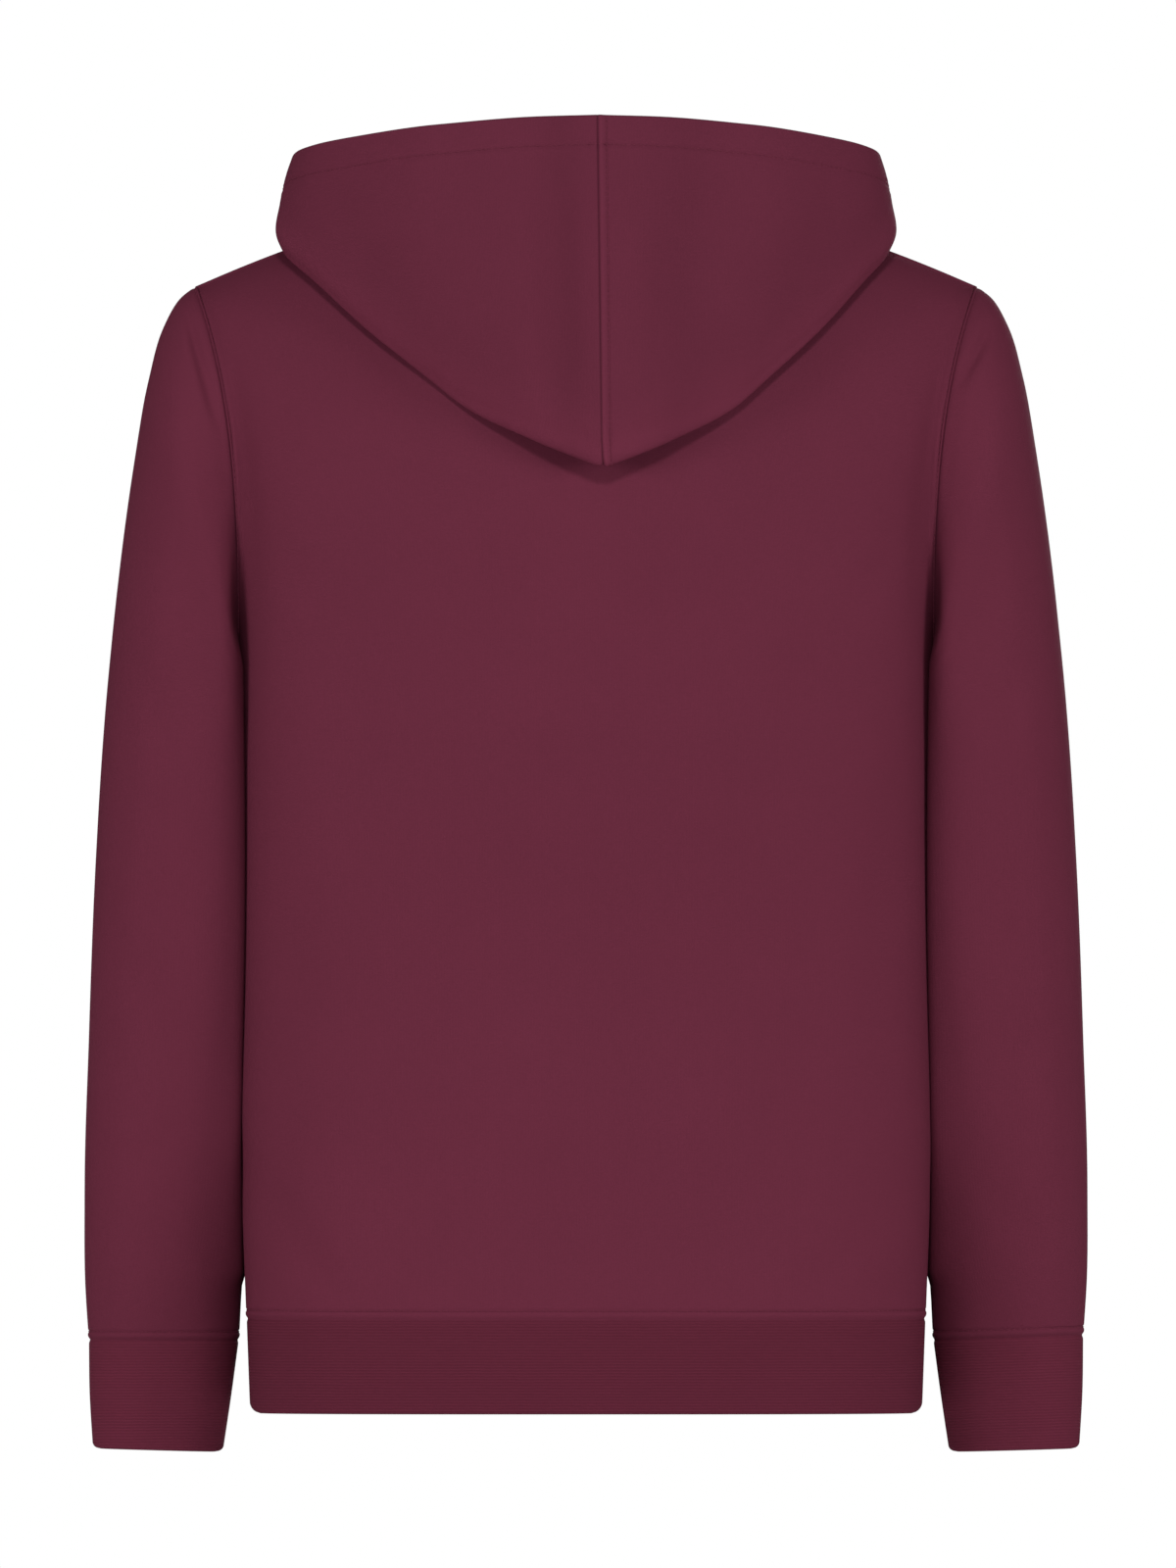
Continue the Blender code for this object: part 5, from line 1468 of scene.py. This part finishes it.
def make_cuffs():
    """Both cuffs."""
    turn = np.arange(SLEEVE_TURNS)[:, None] / SLEEVE_TURNS
    at_corner = bell(np.minimum(turn, 1 - turn) / CUFF_CORNER_TURN) + bell((turn - 0.5) / CUFF_CORNER_TURN)
    for (side, place), rise in zip(SIDES, (0.0, RIGHT_CUFF_RISE)):
        points = cuff_wall(rise)
        travelled = arc(points)
        reliefs = band_relief(travelled, travelled[:, -1:] - travelled, at_corner, CUFF_CORNER_CURL)
        piece, _ = dressed(f"cuff_{side}_rib", f"cuff_{side}", place(points), place(tube_normals(points)),
                           # The cuffs' rib colour is painted lighter: a painted light.
                           RIB, reliefs, rib_materials("cuff_face", CUFF_PAINTED_LIGHT),
                           round_coordinates(points, travelled), closed=True)


def make_hem_band():
    """The hem band."""
    points, normals = hem_wall()
    travelled = arc(points)
    round_it = arc(points, axis=0)
    sides = np.abs(points[..., 0]) / HEM_CORNER_X
    at_corner = bell((1 - np.minimum(sides, 1)) / HEM_CORNER_SHARE)
    outer, inner = band_relief(travelled, travelled[:, -1:] - travelled, at_corner, HEM_CORNER_CURL)
    ends = np.minimum(round_it, round_it[-1:] - round_it)
    outer = outer - rolled(ends, HEM_END_ROLL)
    piece, _ = dressed("hem_band_rib", "hem_band", points, normals, RIB, (outer, inner), rib_materials(),
                       np.stack((round_it, travelled), -1))


# The hood's tunnel: its width, how far it swells out, the groove and the puckers at its stitches, and the
# step on its inside. Pairs are a height or depth, and a reach
TUNNEL = 0.018
TUNNEL_SWELL = (0.0006, 0.008)
TUNNEL_GROOVE = (0.0006, 0.0012)
TUNNEL_STEP = (0.0010, 0.002)
PUCKER = (0.00035, 0.004)
PUCKER_LENGTH = 0.0075
HOOD_EDGE_ROLL = 0.0012
HOOD_INNER_ROLL = 0.0008
HOOD_INNER_ROLL_SHARE = 0.8

# The hood's centre seam: the notches that part the tip, and the ridge beside the seam on the wearer's right
NOTCHES = ((0.0012, 0.0035), (0.0010, 0.0010))
NOTCH_REACH = 0.012
CENTRE_GROOVE = (0.0004, 0.0004)
CENTRE_RIDGE = (0.0020, 0.0014)
CENTRE_RIDGE_HEIGHTS = (0.0, 0.0003)
HOOD_CREASE_STEP = 0.62
HOOD_CREASE_FADE = 0.08


def swell(distance, height_and_reach):
    """A bell of a height and a reach."""
    height, reach = height_and_reach
    return height * bell(distance / reach)


def make_hood():
    """The two hood panels: a centre seam with a stitched ridge on the wearer's right, and a tunnel along the
    face edge whose stitches pucker the cloth a little."""
    cloth = cloth_settings()
    grid, grid_normal, climbed, from_centre = hood_wall()
    from_edge = climbed[:, -1:] - climbed
    steps = marked(HOOD_STEP_MARKS)
    fold_row = int(np.argmin(np.abs(steps - HOOD_FOLD_STEP)))
    over_fold = climbed - climbed[:, fold_row:fold_row + 1]
    over = ease((steps[None, :] - HOOD_CREASE_STEP) / HOOD_CREASE_FADE)
    clear = ease(climbed / SEAM_CLEAR) * ease(from_centre / CENTRE_CLEAR) * over
    notch = sum(swell(from_centre, each) for each in NOTCHES) * bell(np.abs(over_fold) / NOTCH_REACH)
    waves = np.sin(2 * math.pi * from_centre / PUCKER_LENGTH)
    puckers = PUCKER[0] * waves * bell((from_edge - TUNNEL) / PUCKER[1])
    tunnel = swell(from_edge - TUNNEL / 2, TUNNEL_SWELL) - swell(from_edge - TUNNEL, TUNNEL_GROOVE)
    step = TUNNEL_STEP[0] * ease((TUNNEL - from_edge) / TUNNEL_STEP[1])
    for (side, place), table, ridge in zip(
        SIDES, (HOOD_LEFT_CREASES, HOOD_RIGHT_CREASES), CENTRE_RIDGE_HEIGHTS
    ):
        points = place(grid)
        points[0, :, 0] = SEAM_GAP / 2 * (1 if side == "left" else -1)
        points, normals = skewed(points), place(grid_normal)
        broad = creases(points, table, 1) * clear * cloth.crease_strength
        centre = swell(from_centre - CENTRE_RIDGE[0], (ridge, CENTRE_RIDGE[1]))
        centre = centre - swell(from_centre, CENTRE_GROOVE)
        fine = seam(climbed, cloth.seam_depth) + centre
        fine += -notch + tunnel + puckers - rolled(from_edge, HOOD_EDGE_ROLL)
        behind = broad - notch + HOOD_INNER_ROLL_SHARE * rolled(from_edge, HOOD_INNER_ROLL) - step
        piece, outer = dressed(f"hood_{side}_cloth", f"hood_{side}", points, normals, FLEECE,
                               (broad + fine, behind), hood_materials(),
                               np.stack((from_centre + (side == "left"), over_fold), -1))
        rows = [row_at(outer[DOWN], normals[DOWN], from_edge[DOWN], TUNNEL)]
        if side == "right":
            rows.append(row_at(outer.transpose(1, 0, 2), normals.transpose(1, 0, 2), from_centre.T))
        thread_rows = sewn(f"hood_{side}_stitches", rows)


# Zip

TAPE_COLUMNS = np.linspace(0, 0.45, 6)
TAPE_ROWS = marked(((0, 1), (110,)))
TAPE_DEPTH_ROW = 0.098
TAPE_HEM_ROWS = 8
TOOTH_HALF_SIZES = (0.0018, 0.00064, 0.0013)
TOOTH_FROM_CENTRE = 0.0014
TOOTH_POWER = 4.0
TOOTH_RINGS = 5
TOOTH_SIDES = 8


def tape_wall():
    """The outer points and normals of the left zip tape, behind the front's and the hem band's inner
    sides."""
    front = torso(TAPE_COLUMNS[:, None], TAPE_ROWS[None, :], -1)
    normals = grid_normals(front, (0, -1, 0)) * (0, 1, 1)
    top = unit(neck_normal(np.zeros(1), -1) * (0, 1, 1))
    climbed = arc(front)
    normals = turned_to(unit(normals), top, climbed[:, -1:] - climbed, NORMAL_REACH)
    at_seam = HEM_TOP_INSET + RIB + 2 * ZIP_CLEARANCE
    depth = np.interp(TAPE_ROWS, (0, TAPE_DEPTH_ROW), (at_seam, FLEECE + ZIP_CLEARANCE))
    share = np.linspace(1, 0, TAPE_HEM_ROWS, endpoint=False)
    hem = np.repeat(front[:, :1], len(share), axis=1)
    hem[..., 2] = HEM_SEAM + (HEM_BOTTOM - HEM_SEAM) * share
    hem_normals = np.broadcast_to(np.array((0, -1.0, 0)), hem.shape)
    hem_depth = HEM_TOP_INSET + (HEM_BOTTOM_INSET - HEM_TOP_INSET) * share + RIB + ZIP_CLEARANCE
    points = np.concatenate((hem, front), axis=1)
    normals = np.concatenate((hem_normals, normals), axis=1)
    points = points - normals * np.concatenate((hem_depth, depth))[None, :, None]
    inner = points[:1] * (0, 1, 1) + (TAPE_EDGE, 0, 0)
    return np.concatenate((inner, points)), np.concatenate((normals[:1], normals))


def zip_line(height):
    """The tape's front face at a height on the zip: its points at the centre, and its outward normals."""
    points, normals = tape_wall()
    y = np.interp(height, points[0, :, 2], points[0, :, 1])
    normal = [np.interp(height, points[0, :, 2], normals[0, :, axis]) for axis in range(3)]
    return stack(0, y, height), unit(np.stack(normal, axis=-1))


def make_tapes():
    """The two zip tapes."""
    points, normals = tape_wall()
    weave = made_once("tape_weave", tape_weave, tuple(cloth_settings().rib_colour))
    flat = np.zeros(points.shape[:2])
    for side, place in SIDES:
        piece, _ = dressed(f"zip_tape_{side}_weave", f"zip_tape_{side}", place(points), place(normals), TAPE,
                           (flat, flat), (weave,), np.stack((arc(points, axis=0), arc(points)), -1))


def tooth():
    """The vertices of a block with rounded corners: a superellipsoid of the half sizes, whose coordinates are
    products of raised sines and cosines of two angles."""
    up = np.linspace(-math.pi / 2, math.pi / 2, TOOTH_RINGS)
    turn = 2 * math.pi * (np.arange(TOOTH_SIDES) + 0.5) / TOOTH_SIDES
    power = 2 / TOOTH_POWER
    ring = np.stack((raised(np.cos(turn), power), raised(np.sin(turn), power)), -1)
    flat = raised(np.cos(up), power)[:, None, None] * ring[None]
    height = np.broadcast_to(raised(np.sin(up), power)[:, None, None], flat.shape[:2] + (1,))
    return np.concatenate((flat, height), -1).reshape(-1, 3) * TOOTH_HALF_SIZES


def make_teeth():
    """The teeth: rounded blocks in two columns that mesh, each half a pitch above the one across from it."""
    pitch = bpy.context.scene.hoodie_zip.tooth_pitch
    low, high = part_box("zip_chain")
    heights = np.arange(low[2] + pitch / 2, high[2] - pitch / 2, pitch / 2)
    centre, outward = zip_line(heights)
    side = np.where(np.arange(len(heights)) % 2 == 0, 1, -1)[:, None]
    across = side * np.array((1.0, 0, 0))
    up = np.cross(across, outward) * side
    block = tooth()
    middle = centre + across * TOOTH_FROM_CENTRE + outward * (-TAPE / 2)
    vertices = middle[:, None] + (
        block[None, :, 0:1] * across[:, None]
        + block[None, :, 1:2] * up[:, None]
        + block[None, :, 2:3] * outward[:, None]
    )
    teeth = repeated(vertices.reshape(-1, 3), tube_quads(TOOTH_RINGS, TOOTH_SIDES), len(heights))
    piece = joined("zip_teeth", [teeth],
                   made_once("teeth_plastic", teeth_plastic, tuple(cloth_settings().rib_colour)))
    merge_poles(piece)
    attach(piece, "garment")
    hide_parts("zip_chain")


def make_slider():
    """The slider and its pull, in plated metal."""
    metal = made_once("zip_metal", zip_metal, tuple(bpy.context.scene.hoodie_zip.metal_colour))
    for node in ("zip_slider", "zip_pull"):
        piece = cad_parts[node]
        piece.data.materials.clear()
        piece.data.materials.append(metal)


# Stage

SENSOR_WIDTH = 36
CLIP_DISTANCES = 4
FLOOR_HALF_SIZE = 1.6
FLOOR_COLOUR = (0.82, 0.81, 0.80, 1)

# Each light's name, place, size and share of the key light's power
LIGHTS = (
    ("key", (0.0, 4.9, 2.3), 0.8, 2.90),
    ("left", (3.0, 2.3, 0.3), 1.3, 1.46),
    ("right", (-3.0, 2.3, 0.3), 1.3, 1.46),
    ("front", (-0.5, -3.2, 0.5), 1.6, 2.00),
)


def make_camera(scene, stage):
    """The camera level behind the garment, with the lens that shows the view's height at its distance."""
    camera = bpy.data.objects.new("camera", bpy.data.cameras.new("camera"))
    camera.location = (stage.view_x, stage.camera_distance, stage.view_z)
    camera.rotation_euler = (math.radians(90), 0, math.radians(180))
    camera.data.sensor_width = SENSOR_WIDTH
    camera.data.lens = SENSOR_WIDTH * stage.camera_distance / stage.view_height
    camera.data.clip_end = CLIP_DISTANCES * stage.camera_distance
    scene.collection.objects.link(camera)
    scene.camera = camera


def make_lights(scene, stage):
    """Round soft lights that face the garment: one high behind it, one at each side, and one in front."""
    target = Vector((0, 0, stage.view_z))
    for name, location, size, share in LIGHTS:
        light = bpy.data.objects.new(name, bpy.data.lights.new(name, "AREA"))
        light.data.shape = "DISK"
        light.data.size = size
        light.data.energy = stage.key_power * share
        light.location = location
        light.visible_camera = False
        light.rotation_euler = (target - Vector(location)).to_track_quat("-Z", "Y").to_euler()
        scene.collection.objects.link(light)


def make_surroundings(scene, stage):
    """A white world that lights the garment weakly from all sides, and a pale floor."""
    world = bpy.data.worlds.new("studio")
    world.use_nodes = True
    scene.world = world
    tree = Tree(world.node_tree)
    background = world.node_tree.nodes["Background"]
    background.inputs["Color"].default_value = (1, 1, 1, 1)
    seen = tree.add("ShaderNodeLightPath").outputs["Is Camera Ray"]
    strength = tree.math("MULTIPLY_ADD", seen, 1 - stage.world_strength, stage.world_strength)
    tree.connect(strength, background.inputs["Strength"])
    corners = FLOOR_HALF_SIZE * np.array(((-1, -1, 0), (1, -1, 0), (1, 1, 0), (-1, 1, 0)), float)
    corners[:, 2] = stage.floor_height
    floor = mesh_object("floor", corners, np.array(((0, 1, 2, 3),)))
    material, _, shader = material_tree("floor_paint", 0.8)
    shader.inputs["Base Color"].default_value = FLOOR_COLOUR
    floor.data.materials.append(material)


def make_stage():
    """The camera, the lights, the world and the floor."""
    scene = bpy.context.scene
    stage = scene.hoodie_stage
    scene.view_settings.view_transform = "Standard"
    make_camera(scene, stage)
    make_lights(scene, stage)
    make_surroundings(scene, stage)


# Add-on

class HoodieCloth(bpy.types.PropertyGroup):
    """Colours and fine sizes of the cloth and its sewing."""

    fleece_colour: bpy.props.FloatVectorProperty(
        name="Fleece", description="Colour of the fleece's face", subtype="COLOR", size=3,
        default=(0.140, 0.0253, 0.0491), min=0, max=1)
    # The hood's colour is darker than the fleece's: a painted shade over the whole hood.
    hood_painted_shade_colour: bpy.props.FloatVectorProperty(
        name="Hood", description="Colour of the hood, whose knit lies the other way and looks darker",
        subtype="COLOR", size=3, default=(0.134, 0.0244, 0.0474), min=0, max=1)
    rib_colour: bpy.props.FloatVectorProperty(
        name="Rib", description="Colour of the cuffs and the hem band", subtype="COLOR", size=3,
        default=(0.112, 0.0190, 0.0368), min=0, max=1)
    thread_colour: bpy.props.FloatVectorProperty(
        name="Thread", description="Colour of the sewing thread", subtype="COLOR", size=3,
        default=(0.150, 0.028, 0.052), min=0, max=1)
    wale: bpy.props.FloatProperty(
        name="Wale", description="Width of one column of knit stitches", subtype="DISTANCE",
        default=0.0009)
    rib_spacing: bpy.props.FloatProperty(
        name="Rib spacing", description="Distance between the lines of the rib", subtype="DISTANCE",
        default=0.0017)
    seam_depth: bpy.props.FloatProperty(
        name="Seam depth", description="How deep the cloth dips at a seam", subtype="DISTANCE",
        default=0.0009)
    crease_strength: bpy.props.FloatProperty(
        name="Creases", description="Share of the creases' full depth", subtype="FACTOR", default=1.0)
    stitch_length: bpy.props.FloatProperty(
        name="Stitch", description="Length of one stitch", subtype="DISTANCE", default=0.0027)
    stitch_gap: bpy.props.FloatProperty(
        name="Stitch gap", description="Gap between two stitches", subtype="DISTANCE", default=0.0007)
    thread_radius: bpy.props.FloatProperty(
        name="Thread", description="Radius of the thread", subtype="DISTANCE", default=0.00032)


class HoodieZip(bpy.types.PropertyGroup):
    """Sizes and colour of the zip."""

    tooth_pitch: bpy.props.FloatProperty(
        name="Tooth pitch", description="Distance between teeth on one tape", subtype="DISTANCE",
        default=0.0024)
    metal_colour: bpy.props.FloatVectorProperty(
        name="Metal", description="Colour of the slider and its pull", subtype="COLOR", size=3,
        default=(0.32, 0.31, 0.30), min=0, max=1)


class HoodieStage(bpy.types.PropertyGroup):
    """The camera, lights and floor."""

    camera_distance: bpy.props.FloatProperty(
        name="Camera distance", description="From the camera to the garment", subtype="DISTANCE",
        default=30.0)
    view_height: bpy.props.FloatProperty(
        name="View height", description="Height of the view at the garment", subtype="DISTANCE",
        default=0.9154)
    view_x: bpy.props.FloatProperty(
        name="View across", description="Middle of the view across", subtype="DISTANCE", default=-0.00114)
    view_z: bpy.props.FloatProperty(
        name="View up", description="Middle of the view's height", subtype="DISTANCE", default=-0.3349)
    key_power: bpy.props.FloatProperty(
        name="Key light", description="Power of the large soft light", subtype="POWER", default=35.0)
    world_strength: bpy.props.FloatProperty(
        name="Light all round", description="Strength of the light from all sides", default=0.15)
    floor_height: bpy.props.FloatProperty(
        name="Floor", description="Height of the floor", subtype="DISTANCE", default=-0.86)


class HOODIE_OT_back(bpy.types.Operator):
    """Make the back panel with its seams and stitches"""

    bl_idname = "hoodie.back"
    bl_label = "Back"

    def execute(self, context):
        make_back()
        return {"FINISHED"}


class HOODIE_OT_fronts(bpy.types.Operator):
    """Make the two fronts with the stitches beside the zip"""

    bl_idname = "hoodie.fronts"
    bl_label = "Fronts"

    def execute(self, context):
        make_fronts()
        return {"FINISHED"}


class HOODIE_OT_sleeves(bpy.types.Operator):
    """Make both sleeves"""

    bl_idname = "hoodie.sleeves"
    bl_label = "Sleeves"

    def execute(self, context):
        make_sleeves()
        return {"FINISHED"}


class HOODIE_OT_ribs(bpy.types.Operator):
    """Make the cuffs and the hem band"""

    bl_idname = "hoodie.ribs"
    bl_label = "Cuffs and hem band"

    def execute(self, context):
        make_cuffs()
        make_hem_band()
        return {"FINISHED"}


class HOODIE_OT_hood(bpy.types.Operator):
    """Make the two hood panels, laid down on the back"""

    bl_idname = "hoodie.hood"
    bl_label = "Hood"

    def execute(self, context):
        make_hood()
        return {"FINISHED"}


class HOODIE_OT_zip(bpy.types.Operator):
    """Make the zip's tapes and teeth, and plate its slider and pull"""

    bl_idname = "hoodie.zip"
    bl_label = "Zip"

    def execute(self, context):
        make_tapes()
        make_teeth()
        make_slider()
        return {"FINISHED"}


class HOODIE_OT_stage(bpy.types.Operator):
    """Make the camera, the lights and the floor"""

    bl_idname = "hoodie.stage"
    bl_label = "Stage"

    def execute(self, context):
        make_stage()
        return {"FINISHED"}


class HOODIE_PT_panel(bpy.types.Panel):
    """The garment's sizes and colours, and a button for each group of pieces"""

    bl_idname = "HOODIE_PT_panel"
    bl_label = "Zip up hoodie"
    bl_space_type = "VIEW_3D"
    bl_region_type = "UI"
    bl_category = "Hoodie"

    def draw(self, context):
        for settings in (context.scene.hoodie_cloth, context.scene.hoodie_zip, context.scene.hoodie_stage):
            box = self.layout.box()
            for name in settings.__annotations__:
                box.prop(settings, name)
        for step in OPERATORS:
            self.layout.operator(step.bl_idname)


OPERATORS = (
    HOODIE_OT_back, HOODIE_OT_fronts, HOODIE_OT_sleeves, HOODIE_OT_ribs, HOODIE_OT_hood, HOODIE_OT_zip,
    HOODIE_OT_stage,
)
SETTINGS = (("hoodie_cloth", HoodieCloth), ("hoodie_zip", HoodieZip), ("hoodie_stage", HoodieStage))


def register():
    """Registers the properties, the operators and the panel."""
    for name, group in SETTINGS:
        bpy.utils.register_class(group)
        setattr(bpy.types.Scene, name, bpy.props.PointerProperty(type=group))
    for item in (*OPERATORS, HOODIE_PT_panel):
        bpy.utils.register_class(item)


def unregister():
    """Takes all of it off again."""
    for item in (HOODIE_PT_panel, *reversed(OPERATORS)):
        bpy.utils.unregister_class(item)
    for name, group in reversed(SETTINGS):
        delattr(bpy.types.Scene, name)
        bpy.utils.unregister_class(group)


def main():
    """Makes every piece and the stage."""
    register()
    bpy.ops.hoodie.back()
    bpy.ops.hoodie.fronts()
    bpy.ops.hoodie.sleeves()
    bpy.ops.hoodie.ribs()
    bpy.ops.hoodie.hood()
    bpy.ops.hoodie.zip()
    bpy.ops.hoodie.stage()


if __name__ == "__main__":
    main()
